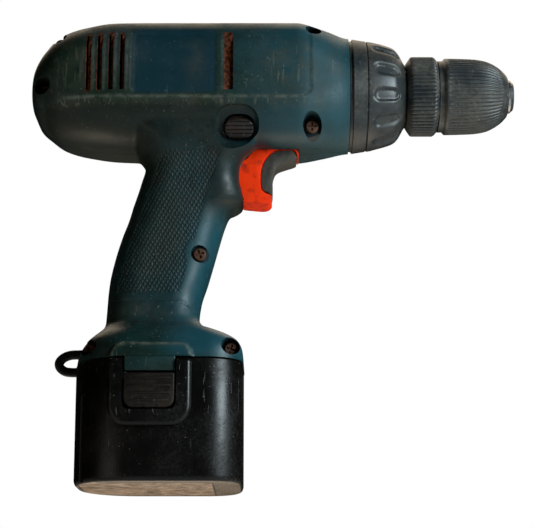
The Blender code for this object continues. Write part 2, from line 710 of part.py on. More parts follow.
# --- Motor ------------------------------------------------------------------------------------------
def make_motor():
    can_wall = 1.5 * MM
    inner = MOTOR_RADIUS - can_wall
    front_plate = 2 * MM
    turned(
        "motor_can",
        [
            (MOTOR_BACK, inner),
            (MOTOR_BACK, MOTOR_RADIUS),
            (MOTOR_FRONT, MOTOR_RADIUS),
            (MOTOR_FRONT, SHAFT_RADIUS + 2 * MM),
            (MOTOR_FRONT - front_plate, SHAFT_RADIUS + 2 * MM),
            (MOTOR_FRONT - front_plate, inner),
        ],
        STEEL,
        28,
    )
    turned(
        "motor_end_cap",
        [
            (MOTOR_BACK - END_CAP_LENGTH, 4 * MM),
            (MOTOR_BACK - END_CAP_LENGTH, MOTOR_RADIUS - 3 * MM),
            (MOTOR_BACK - END_CAP_LENGTH + 3 * MM, MOTOR_RADIUS - 0.3 * MM),
            (MOTOR_BACK - GAP, MOTOR_RADIUS - 0.3 * MM),
            (MOTOR_BACK - GAP, inner - 2 * MM),
            (MOTOR_BACK - END_CAP_LENGTH + 3 * MM, inner - 2 * MM),
            (MOTOR_BACK - END_CAP_LENGTH + 3 * MM, 4 * MM),
        ],
        BLACK,
        24,
    )
    core_radius = inner - 4.2 * MM
    magnet_inner = core_radius + SLACK
    magnet_outer = inner - GAP
    core_back, core_front = MOTOR_BACK + 17 * MM, MOTOR_FRONT - 13 * MM
    for index, middle in ((1, 0.0), (2, math.pi)):
        arc = [middle + math.radians(62) * k / 5 for k in range(-5, 6)]
        flat = [(magnet_outer * math.cos(t), magnet_outer * math.sin(t)) for t in arc]
        flat += [(magnet_inner * math.cos(t), magnet_inner * math.sin(t)) for t in reversed(arc)]
        rings = [[(x, y, z) for y, z in flat] for x in (core_back, core_front)]
        loft(f"magnet_{index}", rings, DARK_STEEL, (0, 0, AXIS_HEIGHT))
    shaft_front = STAGE_1_BACK + STAGE_1_WIDTH - MM
    rod("motor_shaft", MOTOR_BACK - END_CAP_LENGTH + MM, shaft_front, SHAFT_RADIUS, STEEL, 16)
    poles = 5
    half_pole = math.pi / poles
    edge = [(0.45, -0.55), (0.8, -0.35), (0.86, -0.88), (1.0, -0.84), (1.0, -0.42)]
    outline = edge + [(1.0, 0.0)] + [(share, -turn) for share, turn in reversed(edge)]
    flat = []
    for pole in range(poles):
        for share, turn in outline:
            angle = (2 * pole + turn) * half_pole
            flat.append((core_radius * share * math.cos(angle), core_radius * share * math.sin(angle)))
    rings = [[(x, y, z) for y, z in flat] for x in (core_back + MM, core_front - MM)]
    core = loft("armature_core", rings, DARK_STEEL, (0, 0, AXIS_HEIGHT))
    combine(core, [rod("core_bore", core_back, core_front, SHAFT_RADIUS + GAP, segments=16)])
    brush_room = 4.6 * MM
    bore = SHAFT_RADIUS + GAP
    tube("commutator", MOTOR_BACK + 2 * MM, MOTOR_BACK + 13 * MM, bore, brush_room, COPPER, 20)
    for index, side in ((1, 1), (2, -1)):
        ends = sorted((side * (brush_room + GAP), side * (inner - 2.6 * MM)))
        low = (MOTOR_BACK + 4 * MM, -2 * MM, AXIS_HEIGHT + ends[0])
        high = (MOTOR_BACK + 9 * MM, 2 * MM, AXIS_HEIGHT + ends[1])
        block(f"motor_brush_{index}", low, high, CARBON)
    fan_back = core_front + 1.5 * MM
    fan = tube("cooling_fan", fan_back, fan_back + 7 * MM, bore, 4 * MM, BLACK, 16)
    blades = []
    blade_count = 8
    low = (fan_back + MM, -0.5 * MM, 3 * MM)
    high = (fan_back + 6 * MM, 0.5 * MM, core_radius)
    for k in range(blade_count):
        blade = block(f"blade_{k}", low, high)
        turn = Matrix.Rotation(2 * math.pi * k / blade_count, 4, "X")
        lift = turn @ Matrix.Translation(blade.location)
        blade.matrix_world = Matrix.Translation((0, 0, AXIS_HEIGHT)) @ lift
        blades.append(blade)
    combine(fan, blades, "UNION")


# --- Gearbox ----------------------------------------------------------------------------------------
def carrier_disc(name, back, pin_back):
    front = back + CARRIER_THICKNESS
    disc = rod(name, back, front, CARRIER_RADIUS, STEEL, 30)
    pins = [
        rod(f"{name}_pin_{mark}", pin_back, back + MM, PIN_RADIUS, segments=12, at=place)
        for mark, place in planet_places()
    ]
    return combine(disc, pins, "UNION")


def make_gearbox():
    centre = (0, 0, AXIS_HEIGHT)
    planet_phase = -math.pi / 2 / PLANET_TEETH
    stages = ((1, STAGE_1_BACK, STAGE_1_WIDTH), (2, STAGE_2_BACK, STAGE_2_WIDTH))
    gear("motor_pinion", SUN_TEETH, STAGE_1_BACK, STAGE_1_WIDTH, SHAFT_RADIUS + GAP, STEEL, centre)
    for stage, back, width in stages:
        material = GEAR_PLASTIC if stage == 1 else STEEL
        for mark, place in planet_places():
            name = f"planet_{stage}_{mark}"
            gear(name, PLANET_TEETH, back, width, PIN_RADIUS + GAP, material, place, planet_phase)
        ring_gear(f"ring_gear_{stage}", back - MM, back + width + 0.4 * MM, material)
    carrier = carrier_disc("planet_carrier", CARRIER_1_BACK, STAGE_1_BACK + 0.3 * MM)
    sun_back = CARRIER_1_BACK + CARRIER_THICKNESS - MM
    sun = gear("sun_2", SUN_TEETH, sun_back, STAGE_2_BACK + STAGE_2_WIDTH - sun_back, MM, None, centre)
    combine(carrier, [sun], "UNION")
    spindle = carrier_disc("spindle", CARRIER_2_BACK, STAGE_2_BACK + 0.3 * MM)
    neck = CHUCK_BACK - 0.6 * MM
    shaft = turned(
        "spindle_bar",
        [
            (CARRIER_2_BACK + MM, 0),
            (CARRIER_2_BACK + MM, SPINDLE_RADIUS),
            (neck, SPINDLE_RADIUS),
            (neck, SPINDLE_THREAD),
            (SPINDLE_END, SPINDLE_THREAD),
            (SPINDLE_END, 1.8 * MM),
            (neck, 1.8 * MM),
            (neck, 0),
        ],
        segments=24,
    )
    combine(spindle, [shaft], "UNION")

    bore = RING_OUTER + GAP
    bearing_back = TUBE_FRONT - 10 * MM
    turned(
        "gear_case",
        [
            (CASE_BACK, SUN_RADIUS + 3 * MM),
            (CASE_BACK, CASE_RADIUS),
            (CASE_WALL_BACK + CASE_WALL, CASE_RADIUS),
            (CASE_WALL_BACK + CASE_WALL, TUBE_RADIUS),
            (TUBE_FRONT, TUBE_RADIUS),
            (TUBE_FRONT, BEARING_RADIUS + GAP),
            (bearing_back, BEARING_RADIUS + GAP),
            (bearing_back, SPINDLE_RADIUS + SLACK),
            (CASE_WALL_BACK, SPINDLE_RADIUS + SLACK),
            (CASE_WALL_BACK, bore),
            (CASE_BACK + 2 * MM, bore),
            (CASE_BACK + 2 * MM, SUN_RADIUS + 3 * MM),
        ],
        STEEL,
    )
    bearing_bore = SPINDLE_RADIUS + GAP
    tube("spindle_bearing", bearing_back + GAP, TUBE_FRONT - MM, bearing_bore, BEARING_RADIUS, STEEL, 24)


# --- Clutch -----------------------------------------------------------------------------------------
def make_clutch():
    wire = 0.8 * MM
    mean_radius = TUBE_RADIUS + 2.1 * MM
    coil("clutch_spring", SPRING_BACK + MM, SPRING_ROOM - 2 * wire, mean_radius, wire, 4, STEEL, 12, 5)
    nut_front = COLLAR_BACK + 6 * MM
    tube("clutch_nut", NUT_BACK, nut_front, TUBE_RADIUS + GAP, NUT_RADIUS, BRASS, 32)
    skirt_inner = NUT_RADIUS + SLACK + 0.4 * MM
    skirt_outer = NOSE_RADIUS - WALL - GAP
    turned(
        "scale_ring",
        [
            (NOSE_FRONT - 9 * MM, skirt_inner),
            (NOSE_FRONT - 9 * MM, skirt_outer),
            (NOSE_FRONT + GAP, skirt_outer),
            (NOSE_FRONT + GAP, NOSE_RADIUS + 0.1 * MM),
            (NOSE_FRONT + 3 * MM, NOSE_RADIUS - 0.2 * MM),
            (SCALE_FRONT, NOSE_RADIUS - 1.3 * MM),
            (SCALE_FRONT, skirt_inner),
        ],
        BLACK,
    )
    collar_radius = NOSE_RADIUS - 1.3 * MM
    at = lambda share: COLLAR_BACK + COLLAR_WIDTH * share
    collar = turned(
        "torque_collar",
        [
            (COLLAR_BACK, skirt_inner),
            (COLLAR_BACK, collar_radius),
            (at(0.47), collar_radius - 2.3 * MM),
            (at(0.66), collar_radius - 3.6 * MM),
            (at(0.89), collar_radius - 8.2 * MM),
            (at(0.95), collar_radius - 10.1 * MM),
            (COLLAR_FRONT, collar_radius - 10.6 * MM),
            (COLLAR_FRONT, SPINDLE_RADIUS + 2.5 * MM),
            (TUBE_FRONT + 1.5 * MM, SPINDLE_RADIUS + 2.5 * MM),
            (TUBE_FRONT + 1.5 * MM, skirt_inner),
        ],
        BLACK,
        36,
    )
    dimples = []
    for k in range(DIMPLE_COUNT):
        bpy.ops.mesh.primitive_uv_sphere_add(segments=10, ring_count=5, radius=1)
        dimple = bpy.context.object
        dimple.name = f"dimple_{k}"
        turn = Matrix.Rotation(2 * math.pi * k / DIMPLE_COUNT, 4, "X")
        out = Matrix.Translation((at(0.42), 0, collar_radius + 1.2 * MM))
        size = Matrix.Diagonal((6.6 * MM, 3.5 * MM, 3.6 * MM, 1))
        dimple.data.transform(Matrix.Translation((0, 0, AXIS_HEIGHT)) @ turn @ out @ size)
        dimples.append(dimple)
    combine(collar, dimples)


# --- Chuck ------------------------------------------------------------------------------------------
def jaw_matrix(turn):
    """Frame of one jaw: X along its own axis, with the origin at its tip."""
    lean = Matrix.Rotation(JAW_ANGLE, 4, "Y")
    place = Matrix.Translation((JAW_TIP, 0, JAW_TIP_RADIUS))
    return Matrix.Translation((0, 0, AXIS_HEIGHT)) @ Matrix.Rotation(turn, 4, "X") @ place @ lean


def make_chuck():
    nut_bore = JAW_TIP_RADIUS + (JAW_TIP - CHUCK_NUT_BACK) * math.tan(JAW_ANGLE) + JAW_RADIUS + 0.5 * MM
    neck = nut_bore - 0.9 * MM
    nut_front = CHUCK_NUT_BACK + CHUCK_NUT_LENGTH
    nose_radius = BIT_BORE_RADIUS + 2.8 * MM
    shoulder = CHUCK_BODY_RADIUS - 0.6 * MM
    body = turned(
        "chuck_body",
        [
            (CHUCK_BACK, 0),
            (CHUCK_BACK, CHUCK_BODY_RADIUS - MM),
            (CHUCK_BACK + MM, CHUCK_BODY_RADIUS),
            (CHUCK_NUT_BACK - GAP, CHUCK_BODY_RADIUS),
            (CHUCK_NUT_BACK - GAP, neck),
            (nut_front + GAP, neck),
            (nut_front + GAP, shoulder),
            (nut_front + 5 * MM, shoulder - MM),
            (CHUCK_FRONT - 5.4 * MM, nose_radius),
            (CHUCK_FRONT - 1.6 * MM, nose_radius),
            (CHUCK_FRONT, nose_radius - 1.4 * MM),
            (CHUCK_FRONT, 0),
        ],
        STEEL,
        28,
    )
    cutters = [
        rod("spindle_hole", CHUCK_BACK - MM, SPINDLE_END + 1.5 * MM, SPINDLE_THREAD + GAP, start=0.05),
        rod("bit_hole", SPINDLE_END + 4 * MM, CHUCK_FRONT + MM, BIT_BORE_RADIUS, start=0.05),
        rod("screw_hole", SPINDLE_END - MM, SPINDLE_END + 5 * MM, 2.8 * MM, segments=16, start=0.11),
    ]
    for k in range(3):
        turn = 2 * math.pi * k / 3
        ends = (-JAW_LENGTH - 14 * MM, JAW_TRAVEL + 12 * MM)
        hole = rod(f"jaw_hole_{k}", *ends, JAW_RADIUS + GAP, segments=14, at=(0, 0, 0))
        hole.matrix_world = jaw_matrix(turn)
        cutters.append(hole)
        jaw = rod(f"chuck_jaw_{k + 1}", -JAW_LENGTH, 0, JAW_RADIUS, DARK_STEEL, 14, at=(0, 0, 0))
        jaw.matrix_world = jaw_matrix(turn)
        inner = GRIP_RADIUS - CLOSED_RADIUS + 0.35 * MM
        far = 20 * MM
        slope = math.tan(math.pi / 3)
        near = slope * (GRIP_RADIUS - inner)
        side = [(near, GRIP_RADIUS), (slope * far, inner + far)]
        flat = side + [(-y, z) for y, z in reversed(side)]
        ends = (JAW_TAIL - 5 * MM, JAW_TIP + 5 * MM)
        wedge = loft(f"jaw_wedge_{k}", [[(x, y, z) for y, z in flat] for x in ends])
        wedge.matrix_world = Matrix.Translation((0, 0, AXIS_HEIGHT)) @ Matrix.Rotation(turn, 4, "X")
        combine(jaw, [wedge], "INTERSECT")
    combine(body, cutters)
    turned(
        "chuck_screw",
        [
            (SPINDLE_END - 9 * MM, 0),
            (SPINDLE_END - 9 * MM, 1.5 * MM),
            (SPINDLE_END + GAP, 1.5 * MM),
            (SPINDLE_END + GAP, 2.5 * MM),
            (SPINDLE_END + 3 * MM, 2.5 * MM),
            (SPINDLE_END + 3 * MM, 0),
        ],
        STEEL,
        16,
    )
    rear_front = CHUCK_BACK + REAR_SLEEVE_LENGTH
    ring = CHUCK_BODY_RADIUS + GAP
    turned(
        "rear_sleeve",
        [
            (CHUCK_BACK, ring),
            (CHUCK_BACK, SLEEVE_RADIUS - 3.6 * MM),
            (CHUCK_BACK + 2.6 * MM, SLEEVE_RADIUS),
            (rear_front - 2.2 * MM, SLEEVE_RADIUS),
            (rear_front, SLEEVE_RADIUS - 2 * MM),
            (rear_front, TAIL_ROOM_RADIUS),
            (JAW_TAIL - 3.5 * MM, TAIL_ROOM_RADIUS),
            (JAW_TAIL - 3.5 * MM, ring),
        ],
        BLACK,
    )
    back = rear_front + 0.4 * MM
    nut_outer = CHUCK_BODY_RADIUS + 1.6 * MM
    cone = JAW_TAIL + 6.6 * MM
    turned(
        "front_sleeve",
        [
            (back, TAIL_ROOM_RADIUS),
            (back, SLEEVE_RADIUS - 2 * MM),
            (back + 2.2 * MM, SLEEVE_RADIUS - 2 * MM),
            (back + 3.6 * MM, SLEEVE_RADIUS - 0.8 * MM),
            (CHUCK_FRONT - 17 * MM, SLEEVE_RADIUS - 1.4 * MM),
            (CHUCK_FRONT - 13 * MM, SLEEVE_RADIUS - 2.3 * MM),
            (CHUCK_FRONT - 7.4 * MM, SLEEVE_RADIUS - 5.5 * MM),
            (CHUCK_FRONT - 2.7 * MM, nose_radius + 2 * MM),
            (CHUCK_FRONT - 2.7 * MM, nose_radius + SLACK),
            (CHUCK_FRONT - 5.4 * MM, nose_radius + SLACK),
            (nut_front + 5 * MM, shoulder),
            (nut_front + GAP, shoulder + SLACK),
            (nut_front + GAP, nut_outer + GAP),
            (CHUCK_NUT_BACK - GAP, nut_outer + GAP),
            (CHUCK_NUT_BACK - GAP, CHUCK_BODY_RADIUS + SLACK),
            (cone, CHUCK_BODY_RADIUS + SLACK),
            (cone, TAIL_ROOM_RADIUS),
        ],
        BLACK,
    )
    tube("chuck_nut", CHUCK_NUT_BACK, nut_front, nut_bore, nut_outer, STEEL, 30)


# --- Controls ---------------------------------------------------------------------------------------
def make_controls():
    """Trigger, its finger pad, the switch and the direction button."""
    x = lambda forward: TRIGGER_X + forward * MM
    z = lambda down: AXIS_HEIGHT - down * MM
    shell = [
        (x(-7.5), TRIGGER_STEP),
        (x(1.4), TRIGGER_STEP),
        (x(1.8), z(53.8)),
        (x(10.8), TRIGGER_LOW),
        (x(13.6), z(54.6)),
        (x(15.2), z(52.6)),
        (x(14.6), z(51.0)),
        (x(12.2), z(49.9)),
        (x(10.2), z(48.6)),
        (x(9.7), z(44.1)),
        (x(10.3), z(37.1)),
        (x(12.6), z(32.2)),
        (x(16.2), z(29.0)),
        (x(24.4), z(28.4)),
        (x(26.4), z(29.8)),
        (x(27.4), z(32.1)),
        (x(28.1), z(32.1)),
        (x(27.0), z(29.4)),
        (x(24.4), TRIGGER_TOP),
        (x(14.0), TRIGGER_TOP),
        (x(9.5), z(28.2)),
        (x(6.3), z(29.6)),
        (x(1.5), z(34.5)),
        (x(-7.5), z(34.5)),
    ]
    trigger = slab("trigger", shell, -TRIGGER_HALF_WIDTH, TRIGGER_HALF_WIDTH, ORANGE)
    height = z(45)
    stem = rod("trigger_stem", x(-19), x(-6), 2 * MM, segments=14, at=(0, 0, height))
    combine(trigger, [stem], "UNION")
    pad_half = TRIGGER_HALF_WIDTH - 0.5 * MM
    pad = [
        (x(15.5), z(50.2)),
        (x(13.0), z(49.6)),
        (x(10.6), z(48.2)),
        (x(10.1), z(44.1)),
        (x(10.7), z(37.3)),
        (x(12.9), z(32.6)),
        (x(16.4), z(29.4)),
        (x(24.2), z(28.8)),
        (x(25.9), z(30.1)),
        (x(26.9), z(32.4)),
        (x(25.4), z(33.6)),
        (x(21.8), z(34.5)),
        (x(18.2), z(35.9)),
        (x(16.4), z(37.8)),
        (x(15.6), z(42.1)),
    ]
    round_edges(slab("trigger_pad", pad, -pad_half, pad_half, GREY), 0.4 * MM)

    switch = block("switch_body", *switch_ends(0.0), BLACK, MM)
    settle(switch)
    combine(switch, [rod("stem_hole", x(-27), x(-15), 2.5 * MM, segments=16, at=(0, 0, height))])
    spring = coil("trigger_spring", x(-15.4), 7.4 * MM, 3.6 * MM, 0.4 * MM, 4, STEEL, 9, 4)
    spring.location = (0, 0, height)

    button = block(
        "direction_button",
        (BUTTON_X - BUTTON_HALF_LENGTH, -BUTTON_BAR_HALF, BUTTON_LOW),
        (BUTTON_X - MM, BUTTON_BAR_HALF, BUTTON_BAR_TOP),
        BROWN,
    )
    high = CASE_RADIUS - BUTTON_HALF_HEIGHT
    low = CASE_RADIUS + BUTTON_HALF_HEIGHT
    clear = math.sqrt((CASE_RADIUS + GAP) ** 2 - high**2) + BUTTON_TRAVEL
    corner_y, corner_down = BODY_HALF_WIDTH - BODY_CORNER, BODY_BOTTOM - BODY_CORNER
    corner_out = corner_y * math.cos(DISH_LEAN) + corner_down * math.sin(DISH_LEAN)
    face_out = corner_out + BODY_CORNER - DISH_DEPTH + BUTTON_PROUD
    face = lambda down: (face_out - down * math.sin(DISH_LEAN)) / math.cos(DISH_LEAN)
    outline = [(clear, high), (face(high), high), (face(low), low), (BUTTON_BAR_HALF - 2 * MM, low)]
    for side in (-1, 1):
        rings = []
        for x_end in (BUTTON_X - BUTTON_HALF_LENGTH, BUTTON_X + BUTTON_HALF_LENGTH):
            rings.append([(x_end, side * y, AXIS_HEIGHT - down) for y, down in outline])
        combine(button, [loft(f"button_pad_{side}", rings)], "UNION")


# --- Battery ----------------------------------------------------------------------------------------
def case_ring(inset, z):
    return plan(-HALF_LENGTH, HALF_LENGTH, HALF_WIDTH, BATTERY_BACK_CORNER, BATTERY_FRONT_CORNER, z, inset)


def make_battery():
    case_top = BATTERY_HEIGHT - LID_THICKNESS
    wall = BATTERY_SIDE_ROOM - 0.3 * MM
    levels = [case_ring(2 * MM, 0), case_ring(0, 2 * MM), case_ring(0, case_top - GAP)]
    case = loft("battery_case", levels, BLACK)
    hollow = loft("battery_hollow", [case_ring(wall, WALL), case_ring(wall, BATTERY_HEIGHT)])
    frames, pockets = [], []
    latch_high = LATCH_LOW + LATCH_HEIGHT
    frame_low = LATCH_LOW - 8 * MM
    for side in (-1, 1):
        face = side * (HALF_WIDTH + LATCH_SURROUND)
        flat = rounded(LATCH_X - 18 * MM, LATCH_X + 18 * MM, frame_low, case_top - GAP,
                       [9 * MM, 9 * MM, MM, MM], 4)
        ends = [side * (HALF_WIDTH - wall / 2), side * (HALF_WIDTH + MM), face]
        middle = (frame_low + case_top) / 2
        rings = []
        for y, share in zip(ends, (1.0, 1.0, 0.93)):
            level = [(LATCH_X + (u - LATCH_X) * share, middle + (v - middle) * share) for u, v in flat]
            rings.append([(u, y, v) for u, v in level])
        frames.append(loft(f"latch_frame_{side}", rings))
        around = sorted((side * (HALF_WIDTH - 2 * wall), face + side * MM))
        pockets.append(block(
            f"latch_pocket_{side}",
            (LATCH_X - LATCH_LENGTH / 2 - GAP, around[0], LATCH_LOW - GAP),
            (LATCH_X + LATCH_LENGTH / 2 + GAP, around[1], latch_high + GAP),
        ))
        name = "latch_right" if side < 0 else "latch_left"
        ends = sorted((side * (HALF_WIDTH + GAP), face - side * 0.4 * MM))
        block(name, (LATCH_X - LATCH_LENGTH / 2, ends[0], LATCH_LOW),
              (LATCH_X + LATCH_LENGTH / 2, ends[1], latch_high), BLACK, 0.5 * MM)
    combine(case, frames, "UNION")
    combine(case, [hollow] + pockets)
    smooth(settle(case), 30)

    lid = loft("battery_lid", [case_ring(0, case_top), case_ring(0, BATTERY_HEIGHT)], BLACK)
    radii = [5 * MM] * 4
    outer = rounded(TOWER_BACK, TOWER_FRONT, -TOWER_HALF_WIDTH, TOWER_HALF_WIDTH, radii, 4)
    room = TOWER_HALF_WIDTH - TOWER_WALL
    inner = rounded(TOWER_BACK + TOWER_WALL, TOWER_FRONT - TOWER_WALL, -room, room, [4 * MM] * 4, 4)
    tower = loft("tower", [[(x, y, z) for x, y in outer] for z in (case_top + MM, TOWER_TOP)])
    ends = (case_top - MM, TOWER_TOP - 2 * MM)
    inside = loft("tower_inside", [[(x, y, z) for x, y in inner] for z in ends])
    combine(lid, [tower], "UNION")
    combine(lid, [inside])
    smooth(settle(lid), 30)

    cell_radius = CELL_DIAMETER / 2
    weld = 0.1 * MM
    base_low = WALL + 0.8 * MM
    spots = [(dx * CELL_DIAMETER, 0.0) for dx in (-1, 0, 1)]
    row = CELL_DIAMETER * math.sqrt(3) / 2
    spots += [(dx * CELL_DIAMETER / 2, side * row) for side in (-1, 1) for dx in (-1, 1)]
    turns = [math.pi * i / 6 for i in range(12)]

    def disc(x, y, z, radius):
        return [(x + radius * math.cos(t), y + radius * math.sin(t), z) for t in turns]

    cells = []
    for index, (x, y) in enumerate(spots):
        rings = [disc(x, y, z, cell_radius + weld) for z in (base_low, base_low + CELL_HEIGHT)]
        cells.append(loft("cell_pack" if index == 0 else f"cell_{index}", rings, CELL))
    top_low = BATTERY_HEIGHT + 3 * MM
    stub = 0.35 * cell_radius
    rings = [
        disc(TOWER_X, 0, base_low + CELL_HEIGHT - MM, stub),
        disc(TOWER_X, 0, top_low, stub),
        disc(TOWER_X, 0, top_low, cell_radius),
        disc(TOWER_X, 0, top_low + CELL_HEIGHT, cell_radius),
    ]
    combine(cells[0], cells[1:] + [loft("tower_cell", rings)], "UNION")
    blade_top = TOWER_TOP + TERMINAL_HEIGHT
    for mark, side in (("plus", 1), ("minus", -1)):
        y = side * 6 * MM

        def plate(name, half_length, half_width, low, high):
            ends = (TOWER_X - half_length, y - half_width, low), (TOWER_X + half_length, y + half_width, high)
            return block(name, *ends, BRASS)

        plate(f"battery_terminal_{mark}", 5 * MM, 0.5 * MM, TOWER_TOP + GAP, blade_top)
        clip = plate(f"terminal_clip_{mark}", 4 * MM, 1.8 * MM, TOWER_TOP + MM, blade_top + 2 * MM)
        way = plate(f"clip_way_{mark}", 9 * MM, 0.8 * MM, TOWER_TOP - MM, blade_top + 0.6 * MM)
        combine(clip, [way])
    block_low = blade_top + 2 * MM + GAP
    ends = (TOWER_X - 8 * MM, -10 * MM, block_low), (TOWER_X + 8 * MM, 10 * MM, block_low + 4 * MM)
    block("terminal_block", *ends, BLACK, 0.6 * MM)


def main():
    for old in list(bpy.data.objects):
        bpy.data.objects.remove(old, do_unlink=True)
    make_housing()
    make_screws()
    make_strap_eye()
    make_motor()
    make_gearbox()
    make_clutch()
    make_chuck()
    make_controls()
    make_battery()


main()
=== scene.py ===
"""Looks of a worn cordless drill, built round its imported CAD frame."""

import json
import math

import bpy
import numpy as np
from mathutils import Matrix, Vector


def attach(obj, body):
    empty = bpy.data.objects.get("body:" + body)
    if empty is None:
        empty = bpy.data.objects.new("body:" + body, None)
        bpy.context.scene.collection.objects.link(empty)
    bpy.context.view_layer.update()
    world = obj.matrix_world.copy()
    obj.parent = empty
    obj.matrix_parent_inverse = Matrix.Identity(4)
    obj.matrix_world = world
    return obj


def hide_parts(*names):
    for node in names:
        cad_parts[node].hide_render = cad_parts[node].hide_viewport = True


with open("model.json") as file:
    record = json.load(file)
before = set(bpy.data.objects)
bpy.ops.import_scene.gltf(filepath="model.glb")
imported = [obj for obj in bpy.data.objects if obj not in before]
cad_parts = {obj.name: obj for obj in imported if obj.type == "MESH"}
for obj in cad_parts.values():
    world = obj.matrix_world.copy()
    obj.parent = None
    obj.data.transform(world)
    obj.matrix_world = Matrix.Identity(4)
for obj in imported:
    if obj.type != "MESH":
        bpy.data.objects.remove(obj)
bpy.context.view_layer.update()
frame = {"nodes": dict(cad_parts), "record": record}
nodes = frame["nodes"]

MM = 0.001
AXIS = 187.2  # height of the spindle, in mm as all sizes below
JOIN = 0.001  # points nearer than this become one
SPLIT_GAP = 0.12  # from the middle plane to each shell of the housing
FAR = 90  # well outside the drill, for blocks that cut a side away


# --- Modelling helpers --------------------------------------------------------------------------------
def only(piece):
    bpy.ops.object.select_all(action="DESELECT")
    piece.select_set(True)
    bpy.context.view_layer.objects.active = piece


def named(name):
    piece = bpy.context.object
    piece.name = piece.data.name = name
    return piece


def modify(piece, kind, **settings):
    only(piece)
    bpy.ops.object.modifier_add(type=kind)
    step = piece.modifiers[-1]
    for key, value in settings.items():
        setattr(step, key, value)
    bpy.ops.object.modifier_apply(modifier=step.name)
    return piece


def combine(piece, others, operation="DIFFERENCE", solver="MANIFOLD"):
    for other in others:
        modify(piece, "BOOLEAN", operation=operation, object=other, solver=solver)
        bpy.data.objects.remove(other)
    return piece


def settle(piece):
    """Places the object's points in world space, with the object itself at the origin."""
    only(piece)
    bpy.ops.object.transform_apply(location=True, rotation=True, scale=True)
    return piece


def edit(piece, *steps):
    only(piece)
    bpy.ops.object.mode_set(mode="EDIT")
    bpy.ops.mesh.select_all(action="SELECT")
    for step in steps:
        step()
    bpy.ops.object.mode_set(mode="OBJECT")
    return piece


def outward(piece):
    """Joins points that meet and turns every face outwards."""
    return edit(
        piece,
        lambda: bpy.ops.mesh.remove_doubles(threshold=JOIN * MM),
        lambda: bpy.ops.mesh.normals_make_consistent(inside=False),
    )


def smooth(piece, angle=35):
    only(piece)
    bpy.ops.object.shade_smooth_by_angle(angle=math.radians(angle))
    return piece


def points_of(piece):
    flat = np.empty(len(piece.data.vertices) * 3)
    piece.data.vertices.foreach_get("co", flat)
    return flat.reshape(-1, 3) / MM


def move_points(piece, points):
    piece.data.vertices.foreach_set("co", (np.asarray(points) * MM).ravel())
    piece.data.update()
    return piece


def mark(piece, name, values):
    """Keeps one number a point, for the materials."""
    layer = piece.data.attributes.new(name, "FLOAT", "POINT")
    layer.data.foreach_set("value", np.asarray(values, np.float32))


def round_edges(piece, width, segments, angle):
    """Bevels the edges sharper than the angle, in degrees. A width of 0 leaves them sharp."""
    if width:
        modify(piece, "BEVEL", width=width * MM, segments=segments, limit_method="ANGLE",
               angle_limit=math.radians(angle))
    return piece


def wrap(name, across, along, place):
    """Grid bent into a closed skin: place(u, v) gives the points for shares u round it and v along it."""
    bpy.ops.mesh.primitive_grid_add(x_subdivisions=across, y_subdivisions=along, size=2)
    piece = named(name)
    flat = points_of(piece) * MM
    move_points(piece, place(np.round((flat[:, 0] + 1) / 2, 6) % 1, (flat[:, 1] + 1) / 2))
    return outward(piece)


def box(name, low, high, bevel=0.0, segments=3):
    bpy.ops.mesh.primitive_cube_add(size=1, location=[(a + b) / 2 * MM for a, b in zip(low, high)])
    piece = named(name)
    piece.scale = [(b - a) * MM for a, b in zip(low, high)]
    return round_edges(settle(piece), bevel, segments, 30)


def cylinder(name, centre, radius, ends, sides=32, axis="Y"):
    """Round bar along one axis; ends are its two places on that axis."""
    turn = {"X": (0, math.pi / 2, 0), "Y": (-math.pi / 2, 0, 0), "Z": (0, 0, 0)}[axis]
    bpy.ops.mesh.primitive_cone_add(vertices=sides, radius1=radius * MM, radius2=radius * MM,
                                    depth=(ends[1] - ends[0]) * MM, rotation=turn)
    piece = named(name)
    middle = (ends[0] + ends[1]) / 2
    spot = {"X": (middle, *centre), "Y": (centre[0], middle, centre[1]), "Z": (*centre, middle)}[axis]
    piece.location = [value * MM for value in spot]
    return settle(piece)


def slab(name, outline, y_from, y_to, bevel=0.0, segments=3, angle=40):
    """Flat outline of (x, z) extruded along Y."""
    bpy.ops.mesh.primitive_circle_add(vertices=len(outline), radius=1, fill_type="NGON")
    piece = named(name)
    move_points(piece, [(x, y_from, z) for x, z in outline])
    depth = (0, (y_to - y_from) * MM, 0)
    edit(
        piece,
        lambda: bpy.ops.mesh.extrude_region_move(TRANSFORM_OT_translate={"value": depth}),
        lambda: bpy.ops.mesh.select_all(action="SELECT"),
        lambda: bpy.ops.mesh.normals_make_consistent(inside=False),
    )
    return round_edges(piece, bevel, segments, angle)


def curve_through(points, steps=6, closed=True):
    """Smooth line through the points."""
    points = np.array(points, float)
    count = len(points)
    made = []
    for i in range(count if closed else count - 1):
        a, b, c, d = (points[(i + k) % count] if closed else points[min(max(i + k, 0), count - 1)]
                      for k in (-1, 0, 1, 2))
        for t in np.arange(steps) / steps:
            made.append(0.5 * (2 * b + (c - a) * t + (2 * a - 5 * b + 4 * c - d) * t**2
                               + (3 * b - a - 3 * c + d) * t**3))
    if not closed:
        made.append(points[-1])
    return np.array(made)


